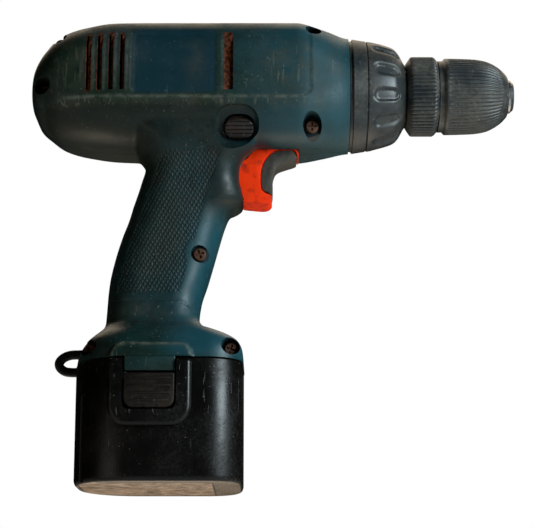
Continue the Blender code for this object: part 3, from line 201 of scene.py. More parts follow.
def through(table, at):
    """Each column of the table at the places at, on smooth curves that don't overshoot."""
    table = np.array(table, float)
    x, y = table[:, 0], table[:, 1:]
    step = np.diff(x)[:, None]
    slope = np.diff(y, axis=0) / step
    before, after = slope[:-1], slope[1:]
    same = before * after > 1e-12
    safe = lambda s: np.where(same, s, 1.0)
    weight = 3 * (step[:-1] + step[1:])
    mean = weight / ((2 * step[1:] + step[:-1]) / safe(before) + (step[1:] + 2 * step[:-1]) / safe(after))
    tangent = np.vstack([slope[:1], np.where(same, mean, 0), slope[-1:]])
    at = np.clip(at, x[0], x[-1])
    k = np.clip(np.searchsorted(x, at) - 1, 0, len(x) - 2)
    t = ((at - x[k]) / step[k, 0])[:, None]
    return ((2 * t**3 - 3 * t**2 + 1) * y[k] + (t**3 - 2 * t**2 + t) * step[k] * tangent[k]
            + (3 * t**2 - 2 * t**3) * y[k + 1] + (t**3 - t**2) * step[k] * tangent[k + 1])


def rounded(u, low_a, high_a, low_b, high_b, radii, columns):
    """Points at shares u round a rectangle with round corners; every size may be an array."""
    corner = np.floor(u * 4).astype(int) % 4
    t = (u * 4 - np.floor(u * 4)) / (1 - 4 / columns)
    radius = np.choose(corner, np.broadcast_arrays(*radii))
    most = np.minimum(high_a - low_a, high_b - low_b) / 2
    radius = np.minimum(radius, most)
    a = np.where((corner == 0) | (corner == 3), low_a + radius, high_a - radius)
    b = np.where(corner < 2, low_b + radius, high_b - radius)
    angle = math.pi * (1 + corner / 2) + math.pi / 2 * t
    return a + radius * np.cos(angle), b + radius * np.sin(angle)


def soft_box(x, z, low_x, high_x, low_z, high_z, corner, fade):
    """1 inside a rectangle with round corners and 0 outside, with a soft edge."""
    dx = np.abs(x - (low_x + high_x) / 2) - (high_x - low_x) / 2 + corner
    dz = np.abs(z - (low_z + high_z) / 2) - (high_z - low_z) / 2 + corner
    away = np.hypot(np.maximum(dx, 0), np.maximum(dz, 0)) + np.minimum(np.maximum(dx, dz), 0) - corner
    return np.clip(0.5 - away / fade, 0, 1)


def line_distance(x, z, outline, closed=True):
    """Distance of each point to a line of points."""
    best = np.full(len(x), 1e9)
    ends = list(zip(outline, np.roll(outline, -1, axis=0)))
    for (ax, az), (bx, bz) in ends if closed else ends[:-1]:
        length = (bx - ax) ** 2 + (bz - az) ** 2 + 1e-12
        t = np.clip(((x - ax) * (bx - ax) + (z - az) * (bz - az)) / length, 0, 1)
        best = np.minimum(best, np.hypot(x - ax - t * (bx - ax), z - az - t * (bz - az)))
    return best


def inside(x, z, outline):
    """Whether each point is inside a closed outline."""
    found = np.zeros(len(x), bool)
    for (ax, az), (bx, bz) in zip(outline, np.roll(outline, -1, axis=0)):
        crosses = (az > z) != (bz > z)
        found ^= crosses & (x < (bx - ax) * (z - az) / (bz - az + 1e-12) + ax)
    return found


# --- Materials ----------------------------------------------------------------------------------------
class Finish:
    """A material made of a few linked nodes."""

    def __init__(self, name):
        self.made = bpy.data.materials.new(name)
        self.made.use_nodes = True
        self.tree = self.made.node_tree
        self.shader = self.tree.nodes["Principled BSDF"]
        self.place = self.tree.nodes.new("ShaderNodeTexCoord").outputs["Object"]

    def node(self, kind, inputs=(), output=0, **settings):
        made = self.tree.nodes.new("ShaderNode" + kind)
        for key, value in settings.items():
            setattr(made, key, value)
        for key, value in dict(inputs).items():
            if isinstance(value, bpy.types.NodeSocket):
                self.tree.links.new(value, made.inputs[key])
            else:
                made.inputs[key].default_value = value
        return made.outputs[output]

    def maths(self, operation, a, b=0.0, c=0.0):
        return self.node("Math", {0: a, 1: b, 2: c}, operation=operation)

    def stretched(self, sizes, turn=(0, 0, 0)):
        return self.node("Mapping", {"Vector": self.place, "Scale": sizes, "Rotation": turn})

    def noise(self, scale, detail=3.0, rough=0.6, at=None, seed=0.0):
        spot = self.place if at is None else at
        if seed:
            spot = self.node("Mapping", {"Vector": spot, "Location": (seed, seed / 2, -seed)})
        return self.node("TexNoise", {"Vector": spot, "Scale": scale, "Detail": detail, "Roughness": rough})

    def step(self, value, low, high, to_low=0.0, to_high=1.0):
        return self.node("MapRange", {"Value": value, "From Min": low, "From Max": high,
                                      "To Min": to_low, "To Max": to_high})

    def mix(self, share, a, b):
        colour = lambda c: c if isinstance(c, bpy.types.NodeSocket) else (*c, 1)
        return self.node("Mix", {0: share, 6: colour(a), 7: colour(b)}, output=2, data_type="RGBA")

    def attribute(self, name):
        return self.node("Attribute", output=2, attribute_name=name)

    def done(self, colour, roughness, height, depth, **others):
        """depth is the bump's height in mm; others are plain shader values."""
        bump = self.node("Bump", {"Height": height, "Distance": depth * MM, "Strength": 1.0})
        for key, value in {"Base Color": colour, "Roughness": roughness, "Normal": bump}.items():
            self.tree.links.new(value, self.shader.inputs[key])
        for key, value in others.items():
            self.shader.inputs[key.replace("_", " ").title().replace("Ior", "IOR")].default_value = value
        return self.made


def scratches(made, scale, threshold, turns):
    """Thin broken lines in a few directions."""
    total = None
    for index, turn in enumerate(turns):
        line = made.noise(scale, 1.0, 0.4, made.stretched((1, 1, 0.09), turn), seed=3.1 * index + 1)
        patch = made.noise(scale * 0.04, 2.0, 0.5, seed=5.7 * index + 2)
        hit = made.maths("MULTIPLY", made.step(line, threshold, threshold + 0.02),
                         made.step(patch, 0.5, 0.62))
        total = hit if total is None else made.maths("MAXIMUM", total, hit)
    return total


def plastic(name, colour, dust, rough=0.42, film=0.5, specks=0.6, scratch=0.4, grain=0.02, level=0.42,
            marks=None, green=None):
    """Worn moulded plastic: a dusty film, pale specks, scratches and a fine grain."""
    made = Finish(name)
    broad = made.noise(45, 4.0, 0.62)
    fine = made.noise(700, 3.0, 0.7)
    cover = made.maths("MULTIPLY", made.step(broad, 0.42, 0.68), made.step(fine, 0.30, 0.75))
    if green:
        colour = made.mix(made.step(made.noise(18, 3.0, 0.5, seed=6.1), 0.42, 0.6), colour, green)
    shade = made.mix(made.maths("MULTIPLY", cover, film), colour, dust)
    grime = made.step(made.noise(220, 3.0, 0.6, seed=2.3), 0.50, 0.72, 0.0, 0.55)
    shade = made.mix(grime, shade, (0.003, 0.003, 0.002))
    speck = made.step(made.noise(950, 1.0, 0.4, seed=7.7), 0.735, 0.775, 0.0, specks)
    pale = tuple(0.5 * value + 0.24 for value in dust)
    shade = made.mix(speck, shade, pale)
    lines = scratches(made, 900, 0.72, ((0.3, 0.5, 0), (1.2, -0.9, 0.4), (0.1, 1.2, 0.9)))
    shade = made.mix(made.maths("MULTIPLY", lines, scratch), shade, pale)
    height = made.maths("MULTIPLY_ADD", fine, 0.5, made.maths("MULTIPLY", lines, -0.6))
    height = made.maths("ADD", height, made.maths("MULTIPLY", speck, 0.6))
    if marks:
        shade, height = marks(made, shade, height)
    roughness = made.step(cover, 0.0, 0.6, rough, min(rough + 0.25, 0.95))
    return made.done(shade, roughness, height, grain, specular_ior_level=level)


def metal(name, colour, rough=0.35, rust=0.0, stain=(0.10, 0.045, 0.02)):
    """Machined steel or brass with fine marks, stains and rust."""
    made = Finish(name)
    broad = made.noise(160, 4.0, 0.65)
    fine = made.noise(1400, 3.0, 0.7)
    lines = made.noise(500, 2.0, 0.5, made.stretched((6, 1, 1)))
    shade = made.mix(made.step(lines, 0.35, 0.65, 0.0, 0.35), colour, tuple(v * 0.6 for v in colour))
    spots = made.maths("MULTIPLY", made.step(broad, 0.62 - 0.4 * rust, 0.72 - 0.2 * rust), 0.35 + 0.6 * rust)
    shade = made.mix(spots, shade, stain)
    roughness = made.step(spots, 0.0, 1.0, rough, 0.85)
    made.tree.links.new(made.step(spots, 0.0, 1.0, 1.0, 0.1), made.shader.inputs["Metallic"])
    height = made.maths("MULTIPLY_ADD", lines, 0.6, made.maths("MULTIPLY", fine, 0.4 + rust))
    return made.done(shade, roughness, height, 0.01 + 0.05 * rust)


def housing_marks(made, shade, height):
    """Diamond grip, smoother panels and worn edges, with a painted lighter front, painted highlights on the
    diamond peaks and painted shade in the grooves and hollows, where the housing's points are marked.
    """
    grip, panel, dust = made.attribute("grip"), made.attribute("panel"), made.attribute("dust")
    # Painted light: the housing turns lighter and bluer towards the front, where the window light falls, in
    # uneven patches.
    uneven = made.step(made.noise(60, 3.0, 0.6, seed=8.3), 0.25, 0.6, 0.4)
    front_light_share = made.maths("MULTIPLY", made.attribute("painted_front_light"), uneven)
    shade = made.mix(made.maths("MULTIPLY", front_light_share, 0.8), shade, (0.009, 0.062, 0.082))
    wear, recess_shade, rust = made.attribute("wear"), made.attribute("recess_shade"), made.attribute("rust")
    split = made.tree.nodes.new("ShaderNodeSeparateXYZ")
    made.tree.links.new(made.place, split.inputs[0])
    pitch = 0.85 * MM
    waves = []
    for turn in (0.72, -0.50):
        along = made.maths("MULTIPLY_ADD", split.outputs[0], math.cos(turn),
                           made.maths("MULTIPLY", split.outputs[2], math.sin(turn)))
        waves.append(made.maths("MULTIPLY", made.maths("PINGPONG", along, pitch), 1 / pitch))
    peak = made.maths("MULTIPLY", made.maths("MINIMUM", *waves), grip)
    shade = made.mix(made.maths("MULTIPLY", panel, 0.75), shade, (0.0035, 0.026, 0.040))
    patchy = made.maths("MULTIPLY", dust, made.step(made.noise(130, 5.0, 0.7, seed=4.4), 0.34, 0.62))
    shade = made.mix(made.maths("MULTIPLY", patchy, 0.85), shade, (0.052, 0.050, 0.034))
    scuffs = scratches(made, 700, 0.66, ((0.2, 0.9, 0.3), (0.9, -0.4, 0.2), (-0.5, 0.3, 1.2),
                                         (0.6, 1.4, 0.1)))
    scuffs = made.maths("MULTIPLY", scuffs, made.step(dust, 0.3, 0.8))
    shade = made.mix(made.maths("MULTIPLY", scuffs, 0.7), shade, (0.17, 0.17, 0.12))
    darker = made.maths("MULTIPLY", made.attribute("shadow"), 0.62)
    shade = made.mix(darker, shade, (0.0035, 0.005, 0.003))
    # Painted shade: the grooves between the diamonds are darkened.
    groove = made.step(made.maths("MINIMUM", *waves), 0.0, 0.4, 0.85, 0.0)
    shade = made.mix(made.maths("MULTIPLY", groove, grip), shade, (0.0035, 0.006, 0.004))
    # Painted highlight: lighter glints on the diamond peaks.
    glint = made.maths("MULTIPLY", made.step(peak, 0.6, 0.9),
                       made.step(made.noise(420, 2.0, 0.6), 0.45, 0.62))
    shade = made.mix(made.maths("MULTIPLY", glint, 0.4), shade, (0.09, 0.12, 0.085))
    rubbed = made.maths("MULTIPLY", wear, made.step(made.noise(260, 3.0, 0.7, seed=9.2), 0.3, 0.6))
    shade = made.mix(rubbed, shade, (0.11, 0.12, 0.095))
    # Painted shade: near black inside the slots and on the screw recesses' floors.
    shade = made.mix(recess_shade, shade, (0.006, 0.003, 0.002))
    grit = made.mix(made.step(made.noise(600, 2.0, 0.6, seed=1.9), 0.4, 0.62),
                    (0.018, 0.005, 0.002), (0.12, 0.03, 0.010))
    shade = made.mix(rust, shade, grit)
    height = made.maths("MULTIPLY_ADD", peak, 13.0, height)
    return shade, height


def battery_marks(made, shade, height):
    """A dusty pale plate on the underside, inside a dark line."""
    split = made.tree.nodes.new("ShaderNodeSeparateXYZ")
    made.tree.links.new(made.place, split.inputs[0])
    away_x = made.maths("ABSOLUTE", made.maths("ADD", split.outputs[0], 5 * MM))
    away_y = made.maths("ABSOLUTE", split.outputs[1])
    edge = made.maths("MAXIMUM", made.maths("SUBTRACT", away_x, 30 * MM),
                      made.maths("SUBTRACT", away_y, 27 * MM))
    low = made.step(split.outputs[2], 0.3 * MM, 0.5 * MM, 1.0, 0.0)
    grime = made.step(made.noise(150, 5.0, 0.7, seed=3.3), 0.35, 0.62)
    paper = made.mix(grime, (0.46, 0.33, 0.24), (0.13, 0.085, 0.055))
    shade = made.mix(made.maths("MULTIPLY", low, 0.85), shade, (0.16, 0.12, 0.085))
    shade = made.mix(made.maths("MULTIPLY", low, made.step(edge, 0.0, 0.3 * MM, 1.0, 0.0)), shade, paper)
    ring = made.maths("MULTIPLY", made.step(made.maths("ABSOLUTE", edge), 0.2 * MM, 0.5 * MM, 1.0, 0.0), low)
    return made.mix(ring, shade, (0.03, 0.02, 0.015)), height


HOUSING = plastic("housing_plastic", (0.0045, 0.026, 0.029), (0.034, 0.032, 0.020), 0.40, film=0.6,
                  specks=0.55, scratch=0.2, marks=housing_marks, green=(0.006, 0.019, 0.011), level=0.32)
BLACK = plastic("sleeve_plastic", (0.019, 0.023, 0.025), (0.125, 0.108, 0.080), 0.36, film=0.78,
                specks=0.35, scratch=0.2)
BATTERY = plastic("battery_plastic", (0.0022, 0.0018, 0.0016), (0.012, 0.007, 0.004), 0.30, film=0.25,
                  specks=0.25, scratch=0.1, grain=0.10, marks=battery_marks, level=0.3)
LATCH = plastic("latch_plastic", (0.005, 0.003, 0.002), (0.032, 0.018, 0.009), 0.45, film=0.8,
                specks=0.15, level=0.25)
ORANGE = plastic("trigger_plastic", (0.95, 0.036, 0.0), (0.55, 0.035, 0.004), 0.55, film=0.35,
                 specks=0.03, scratch=0.1, level=0.15)
GREY = plastic("pad_plastic", (0.045, 0.042, 0.034), (0.11, 0.085, 0.062), 0.65, film=0.9, specks=0.1,
               scratch=0.25)
BROWN = plastic("button_plastic", (0.010, 0.006, 0.005), (0.075, 0.044, 0.028), 0.42, film=0.8,
                specks=0.5)
CARBON = plastic("carbon", (0.02, 0.02, 0.02), (0.05, 0.05, 0.05), 0.7, film=0.3, specks=0.1)
CELL = plastic("cell_sleeve", (0.42, 0.43, 0.40), (0.3, 0.28, 0.22), 0.4, film=0.3, specks=0.1)
NYLON = plastic("gear_plastic", (0.50, 0.49, 0.42), (0.3, 0.28, 0.2), 0.45, film=0.3, specks=0.1)
STEEL = metal("steel", (0.42, 0.42, 0.43), 0.33, rust=0.15)
DARK_STEEL = metal("dark_steel", (0.10, 0.10, 0.105), 0.4, rust=0.2)
RUSTY = metal("rusty_steel", (0.12, 0.075, 0.05), 0.55, rust=0.85, stain=(0.085, 0.026, 0.010))
BRASS = metal("brass", (0.55, 0.38, 0.14), 0.3)
COPPER = metal("copper", (0.60, 0.24, 0.12), 0.32)

CAD_FINISHES = {
    "housing": HOUSING, "black": BLACK, "orange": ORANGE, "grey": GREY, "brown": BROWN, "steel": STEEL,
    "dark_steel": DARK_STEEL, "rusty": RUSTY, "brass": BRASS, "copper": COPPER, "carbon": CARBON,
    "cell": CELL, "gear_plastic": NYLON,
}


def dress(piece, finish):
    piece.data.materials.clear()
    piece.data.materials.append(finish)


for entry in frame["record"]["subparts"]:
    dress(nodes[entry["node"]], CAD_FINISHES[entry["material_slot"]])


def hand_over(piece, body, node, finish):
    dress(piece, finish)
    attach(piece, body)
    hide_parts(node)


# --- Housing ------------------------------------------------------------------------------------------
BACK, NOSE, NOSE_RADIUS = -61.9, 87.4, 27.34
FOOT = 55.3  # height of the housing's underside, on the battery
TOP, BOTTOM, HALF = 31.44, 28.84, 32.04
REAR = (
    (0, 0.15, 0.26, 0.38),
    (1, 0.27, 0.40, 0.55),
    (3, 0.43, 0.54, 0.68),
    (7.5, 0.66, 0.69, 0.80),
    (14.5, 0.835, 0.84, 0.89),
    (25.5, 0.935, 0.93, 0.955),
    (40, 0.995, 0.985, 0.995),
    (56, 1, 1, 1),
)
BARREL = [(BACK + d, TOP * t, BOTTOM * b, HALF * w, 20) for d, t, b, w in REAR]
BARREL += [
    (64.0, TOP, BOTTOM, HALF, 20),
    (65.6, TOP - 0.2, BOTTOM - 0.05, HALF - 0.2, 20.3),
    (76.6, (TOP + NOSE_RADIUS) / 2, (BOTTOM + NOSE_RADIUS) / 2, (HALF + NOSE_RADIUS) / 2, 23.7),
    (88.6, NOSE_RADIUS, NOSE_RADIUS, NOSE_RADIUS, NOSE_RADIUS),
    (NOSE + 4, NOSE_RADIUS, NOSE_RADIUS, NOSE_RADIUS, NOSE_RADIUS),
]
# Height, back, front, half width, back corner, front corner.
GRIP = (
    (50, -37.9, 38.4, 32.8, 27, 17),
    (55.3, -37.8, 38.3, 32.7, 27, 17),
    (60, -36.5, 37.9, 32.0, 24.2, 15.9),
    (65, -33.6, 35.9, 30.0, 21.3, 14.8),
    (68.5, -29.9, 30.8, 27.5, 19.4, 14.1),
    (71.2, -27.1, 24.8, 24.0, 17.8, 13.5),
    (73.2, -25.9, 20.2, 20.8, 16.7, 13.0),
    (75.3, -25.4, 18.3, 18.6, 15.5, 12.6),
    (78, -25.2, 17.4, 17.5, 14.0, 12.0),
    (86.2, -24.9, 18.5, 16.6, 15, 13),
    (94.9, -24.1, 21.2, 16.7, 15, 13),
    (104.2, -22.2, 23.8, 17.0, 15, 13),
    (116.8, -18.5, 27.2, 17.5, 15, 13),
    (123.9, -15.8, 29.3, 18.0, 15, 13),
    (128.8, -14.3, 31.4, 18.5, 15, 13),
    (130.6, -13.8, 33.2, 18.7, 15, 12),
    (132.3, -13.2, 37.0, 18.9, 15, 11),
    (134, -12.6, 37.8, 19.2, 15, 11),
    (138, -11.2, 37.0, 20.0, 15, 11),
    (143, -9.6, 35.9, 21.2, 15, 11),
    (148, -8.0, 36.0, 22.9, 15, 11),
    (152.9, -9.0, 38.0, 24.8, 15, 11),
    (157.6, -11.8, 42.6, 26.8, 15, 12),
    (165.4, -17.9, 45.5, 28.4, 15, 13),
    (176, -17.9, 45.0, 28.4, 15, 13),
)
# x, height, recess radius along X and Z, place of the recess's floor, and place of the screw on it.
SCREWS = (
    (69.8, 165.2, 4.4, 5.4, 19.5, 165.4),
    (70.6, 212.4, 3.8, 3.2, 9.0, 212.4),
    (-49.0, 209.6, 3.8, 3.4, 8.0, 209.6),
    (-55.6, 184.6, 4.0, 4.2, 13.0, 184.6),
    (18.0, 106.2, 4.0, 4.0, 13.0, 106.0),
    (32.6, 61.2, 4.2, 4.2, 16.0, 61.2),
    (-31.6, 61.6, 4.0, 4.0, 10.0, 61.6),
)
SLOTS = [(BACK + 28.2 + 5.2 * i, 2.4) for i in range(4)] + [(31.1, 4.3)]
GRIP_AREA = np.array([
    (4, 153.6), (27.4, 153.6), (26.6, 149), (25.4, 144), (23.4, 139.5), (21.2, 133), (18.6, 124),
    (16.8, 117), (15.4, 112.5), (12.6, 110.8), (11.3, 106.6), (12.2, 102.3), (11.5, 97), (8.6, 87.8),
    (-19.4, 87.8), (-19.8, 92), (-17.8, 100), (-15.2, 110), (-11.4, 121), (-7.0, 133), (-3.4, 143),
    (-1.8, 149.6), (0.6, 152.6),
])


BUTTON_FACE = (36.0, 23.65, 163.25)


def oval(half_wide, half_tall, power=0.8):
    """Outline between an ellipse and a box."""
    turns = np.arange(48) * math.pi / 24
    wide, tall = np.cos(turns), np.sin(turns)
    return list(zip(half_wide * np.sign(wide) * np.abs(wide) ** power,
                    half_tall * np.sign(tall) * np.abs(tall) ** power))


def lean_over(piece, side, place):
    """Turns a slab to face out and down from one side of the housing, at the place (x, distance out, z)."""
    lean = math.radians(43)
    out = Vector((0, side * math.cos(lean), -math.sin(lean)))
    up = Vector((0, side * math.sin(lean), math.cos(lean)))
    x, away, z = place
    piece.matrix_world = (Matrix.Translation(Vector((x, side * away, z)) * MM)
                          @ Matrix((Vector((1, 0, 0)), out, up)).transposed().to_4x4())
    if piece.matrix_world.determinant() < 0:
        edit(piece, lambda: bpy.ops.mesh.flip_normals())
    return settle(piece)


def barrel_skin():
    columns, rows = 128, 90

    def place(u, v):
        share = np.clip((v - 1 / rows) / (1 - 2 / rows), 0, 1)
        x = BACK + (NOSE + 4 - BACK) * share**1.5
        top, bottom, half, corner = through(BARREL, x).T
        y, z = rounded(u, -half, half, -bottom, top, [corner] * 4, columns)
        closed = (v < 0.5 / rows) | (v > 1 - 0.5 / rows)
        return np.stack([x, np.where(closed, 0, y), AXIS + np.where(closed, 0, z)], 1)

    return wrap("barrel", columns, rows, place)


def grip_skin():
    columns, rows = 128, 90

    def place(u, v):
        share = np.clip((v - 1 / rows) / (1 - 2 / rows), 0, 1)
        z = GRIP[0][0] + (GRIP[-1][0] - GRIP[0][0]) * share
        back, front, half, back_corner, front_corner = through(GRIP, z).T
        radii = [back_corner, front_corner, front_corner, back_corner]
        x, y = rounded(u, back, front, -half, half, radii, columns)
        closed = (v < 0.5 / rows) | (v > 1 - 0.5 / rows)
        middle = (back + front) / 2
        return np.stack([np.where(closed, middle, x), np.where(closed, 0, y), z], 1)

    return wrap("grip", columns, rows, place)


def relief(points, normals):
    """How far in each point of the housing's side moves."""
    x, y, z = points.T
    facing = np.clip((np.abs(normals[:, 1]) - 0.25) / 0.3, 0, 1)
    depth = 0.42 * soft_box(x, z, -14.2, 69.4, 177.0, 230, 5.0, 0.9) * np.clip((211 - z) / 4, 0, 1)
    depth += 0.22 * soft_box(x, z, -12.6, 25.2, 178.6, 208.6, 0.8, 0.7)
    depth -= 2.0 * soft_box(x, z, -20.6, 15.6, 40, 61.6, 6.5, 1.6) * (np.abs(y) > 24)
    grip = np.where(inside(x, z, GRIP_AREA), 1, -1) * line_distance(x, z, GRIP_AREA)
    depth += 0.3 * np.clip(grip / 0.8, 0, 1)
    depth += 0.35 * np.clip(1 - np.abs(line_distance(x, z, FOOT_SEAM, False)) / 0.7, 0, 1)
    return depth * facing


FOOT_SEAM = np.array([(-24, 84.3), (8, 84.3), (17, 80.6), (21, 79.6)])
TRIGGER_EDGE = np.array([(46, 159.4), (42.4, 157.8), (38.0, 153.2), (36.0, 148.0), (36.0, 143.0)])
HUMP_EDGE = np.array([(-20.2, 55), (-19.8, 57.6), (-18.0, 60.2), (-15, 61.2), (10, 61.2), (13, 60.2),
                      (14.8, 57.6), (15.2, 55)])
TRIGGER_WAY = [(20.4, 134.8), (41, 134.8), (41, 150), (64.5, 150), (64.5, 156.8), (63.4, 159.0),
               (61, 160.0), (20.4, 160.0)]
CORNER_EDGE = np.array([(64, 177), (68, 178.5), (69.6, 182), (69.6, 200)])
RIBS = (-31.5, -26.3, -21.1, -15.9, 28.3)  # places of the worn ribs between the slots


def housing_marked(piece):
    """Marks the areas that the housing's material treats apart."""
    points = points_of(piece)
    x, y, z = points.T
    side = np.clip((np.abs(y) - 6) / 3, 0, 1)
    grip = np.where(inside(x, z, GRIP_AREA), 1, -1) * line_distance(x, z, GRIP_AREA)
    mark(piece, "grip", np.clip(grip / 0.7 + 0.2, 0, 1) * side)
    mark(piece, "panel", soft_box(x, z, -12.6, 25.2, 178.6, 212, 1.2, 0.8) * side)
    # Painted light: marks the front lighter and bluer, where the window light falls, fading near the
    # trigger's back.
    painted_front_light = np.where(z > 150, np.clip((x - 20) / 55, 0, 1),
                    np.clip((x - 0.14 * (z - 60) + 2) / 14, 0, 1))
    painted_front_light *= 1 - 0.85 * np.clip((z - 118) / 14, 0, 1) * np.clip((160 - z) / 6, 0, 1)
    mark(piece, "painted_front_light", painted_front_light * np.clip((z - 52) / 6, 0, 1))
    low = np.clip((176 - z) / 4, 0, 1) * np.clip((z - 150) / 10, 0, 1) * np.clip((52 - x) / 20, 0, 1)
    front = np.clip((z - 122) / 8, 0, 1) * np.clip((158 - z) / 6, 0, 1) * np.clip((x - 18) / 6, 0, 1)
    mark(piece, "shadow", np.clip(low + 0.9 * front, 0, 1))
    spot = lambda at_x, at_z, wide, tall: np.exp(-(((x - at_x) / wide) ** 2) - ((z - at_z) / tall) ** 2)
    dust = 0.75 * spot(60, 192, 15, 14) + 0.6 * spot(10, 174.2, 70, 2.6) + 0.4 * spot(13, 162.5, 14, 3)
    dust += 0.5 * spot(-45, 190, 16, 22) + 0.55 * spot(27, 134, 5, 4) + 0.4 * spot(-18, 78, 22, 6)
    dust += 0.35 * spot(-22, 196, 12, 10) + 0.5 * spot(16, 193, 4, 12) + 0.45 * spot(0, 218, 60, 2.5)
    mark(piece, "dust", np.clip(dust, 0, 1))
    ridge = np.exp(-((z - 176.8) / 0.8) ** 2) * soft_box(x, z, -44, 66, 170, 185, 2, 8) * 0.75
    corner = np.exp(-((line_distance(x, z, CORNER_EDGE, False) / 0.7) ** 2))
    lip = np.exp(-((line_distance(x, z, TRIGGER_EDGE, False) / 0.8) ** 2)) * (np.abs(y) < 12)
    hump = np.exp(-((line_distance(x, z, HUMP_EDGE, False) / 0.9) ** 2)) * 0.7
    ribs = 0.5 * sum(np.exp(-(((x - at) / 0.6) ** 2)) for at in RIBS) * soft_box(
        x, z, -40, 40, 180, 208, 1, 2)
    wear = np.maximum.reduce([ridge, 0.5 * corner, hump, ribs]) * side
    wear = np.maximum(wear, 0.8 * lip)
    mark(piece, "wear", wear)
    # Painted shade, near black, deep in the slots and in the screw recesses; rust on the slots' shallower
    # part.
    recess_shade, rust = np.zeros(len(x)), np.zeros(len(x))
    for slot_x, width in SLOTS:
        within = (np.abs(x - slot_x) < width / 2 + 0.05) & (z > 179) & (z < 209)
        recess_shade[within & (np.abs(y) < 27.5)] = 0.9
        rust[within & (np.abs(y) < 31.4) & (np.abs(y) >= 27.5)] = 1
    for screw_x, screw_z, wide, tall, depth, _ in SCREWS:
        near = np.hypot((x - screw_x) / wide, (z - screw_z) / tall) < 1.04
        recess_shade[near & (np.abs(y) < depth + 0.5)] = 0.75
    mark(piece, "recess_shade", recess_shade)
    mark(piece, "rust", rust)


def housing_cutters(side):
    cut_to = 45 * side
    made = []
    for x, width in SLOTS:
        ends = sorted((side * 30.2, cut_to))
        made.append(box("slot", (x - width / 2, ends[0], 180), (x + width / 2, ends[1], 207.6), 0.35, 2))
        if width < 3:
            ends = sorted((side * 25.6, cut_to))
            made.append(box("slot_deep", (x - width / 2 + 0.15, ends[0], 180.3), (x, ends[1], 207.3)))
    made.append(slab("trigger_way", TRIGGER_WAY, -8.5, 8.5))
    made.append(box("tower_way", (-14.5, -13, 50), (12.5, 13, 116), 3))
    made.append(box("eye_way", (-48, -2.6, 55.9), (-34.6, 2.6, 64.6), 0.8))
    made.append(lean_over(slab("dish", oval(10.3, 9.7), -9, 9, 2.6, 5, 60), side, (34.9, 30.4, 161.2)))
    made.append(lean_over(slab("button_way", oval(7.3, 6.7), -11, 1), side, BUTTON_FACE))
    made.append(box("bar_way", (29.3, -17.2, 157.6), (35.6, 17.2, 163.7)))
    made.append(cylinder("gear_room", (0, AXIS), 22, (-44.5, 100), 64, "X"))
    made.append(cylinder("nose_room", (0, AXIS), 24.6, (79.8, 100), 64, "X"))
    for x, z, wide, tall, depth, _ in SCREWS:
        if side < 0:
            recess = cylinder("recess", (0, 0), 1, (cut_to, -depth), 40)
            recess.scale = (wide, 1, tall)
            recess.location = (x * MM, 0, z * MM)
            made.append(settle(recess))
    return made


def make_housing():
    skin = combine(barrel_skin(), [grip_skin()], "UNION")
    modify(skin, "REMESH", mode="VOXEL", voxel_size=0.66 * MM)
    modify(skin, "SMOOTH", factor=0.5, iterations=14)
    points = points_of(skin)
    normals = np.empty(len(points) * 3)
    skin.data.vertices.foreach_get("normal", normals)
    normals = normals.reshape(-1, 3)
    move_points(skin, points - normals * relief(points, normals)[:, None])
    combine(skin, [box("below", (-FAR, -FAR, 0), (FAR, FAR, FOOT)),
                   box("ahead", (NOSE, -FAR, 100), (150, FAR, 260))])
    for side, name in ((-1, "right"), (1, "left")):
        only(skin)
        bpy.ops.object.duplicate()
        half = named("housing_" + name + "_shell")
        ends = sorted((-side * FAR, side * SPLIT_GAP))
        combine(half, [box("other_half", (-FAR, ends[0], 0), (120, ends[1], 260))] + housing_cutters(side))
        ends = sorted((side * 31.6, side * 34.3))
        combine(half, [box("tab", (-14.2, ends[0], 48.7), (8.4, ends[1], 59.4), 0.5)], "UNION")
        smooth(half, 32)
        housing_marked(half)
        hand_over(half, "drill_body", "housing_" + name, HOUSING)
    bpy.data.objects.remove(skin)


def make_screws():
    bpy.ops.object.select_all(action="DESELECT")
    head = cylinder("screw_head", (0, 0), 2.9, (-2.2, 0), 32)
    modify(head, "BEVEL", width=0.5 * MM, segments=3, limit_method="ANGLE", angle_limit=0.6)
    cross = [box("cross_a", (-2.1, -4, -0.45), (2.1, -1.3, 0.45)),
             box("cross_b", (-0.45, -4, -2.1), (0.45, -1.31, 2.1))]
    combine(head, cross, solver="EXACT")
    smooth(head)
    for index, (x, _, _, _, depth, z) in enumerate(SCREWS):
        only(head)
        bpy.ops.object.duplicate()
        screw = named(f"screw_{index + 1}")
        screw.rotation_euler = (0, index * 0.7, 0)
        screw.location = (x * MM, -(depth + 0.1) * MM, z * MM)
        settle(screw)
        hand_over(screw, "drill_body", f"housing_screw_{index + 1}", RUSTY)
    bpy.data.objects.remove(head)


EYE_LINE = [(-34.6, 62.0), (-38.0, 61.9), (-41.5, 61.7), (-44.2, 60.8), (-46.2, 59.2), (-46.9, 57.4),
            (-46.1, 55.5), (-43.8, 54.0), (-40.5, 53.6), (-38.4, 53.7)]


def make_strap_eye():
    path = curve_through(EYE_LINE, 6, closed=False)
    rows = len(path) + 1
    ahead = np.gradient(path, axis=0)
    ahead /= np.linalg.norm(ahead, axis=1)[:, None]

    def place(u, v):
        row = np.clip(np.round(v * rows).astype(int) - 1, 0, len(path) - 1)
        closed = (v < 0.5 / rows) | (v > 1 - 0.5 / rows)
        angle = 2 * math.pi * u
        wide = np.where(closed, 0, 2.1) * np.sign(np.cos(angle)) * np.abs(np.cos(angle)) ** 0.6
        deep = np.where(closed, 0, 1.65) * np.sign(np.sin(angle)) * np.abs(np.sin(angle)) ** 0.6
        across = np.stack([-ahead[row, 1], ahead[row, 0]], 1)
        flat = path[row] + across * wide[:, None]
        return np.stack([flat[:, 0], deep, flat[:, 1]], 1)

    eye = smooth(wrap("strap_loop", 24, rows, place), 60)
    hand_over(eye, "drill_body", "strap_eye", BATTERY)


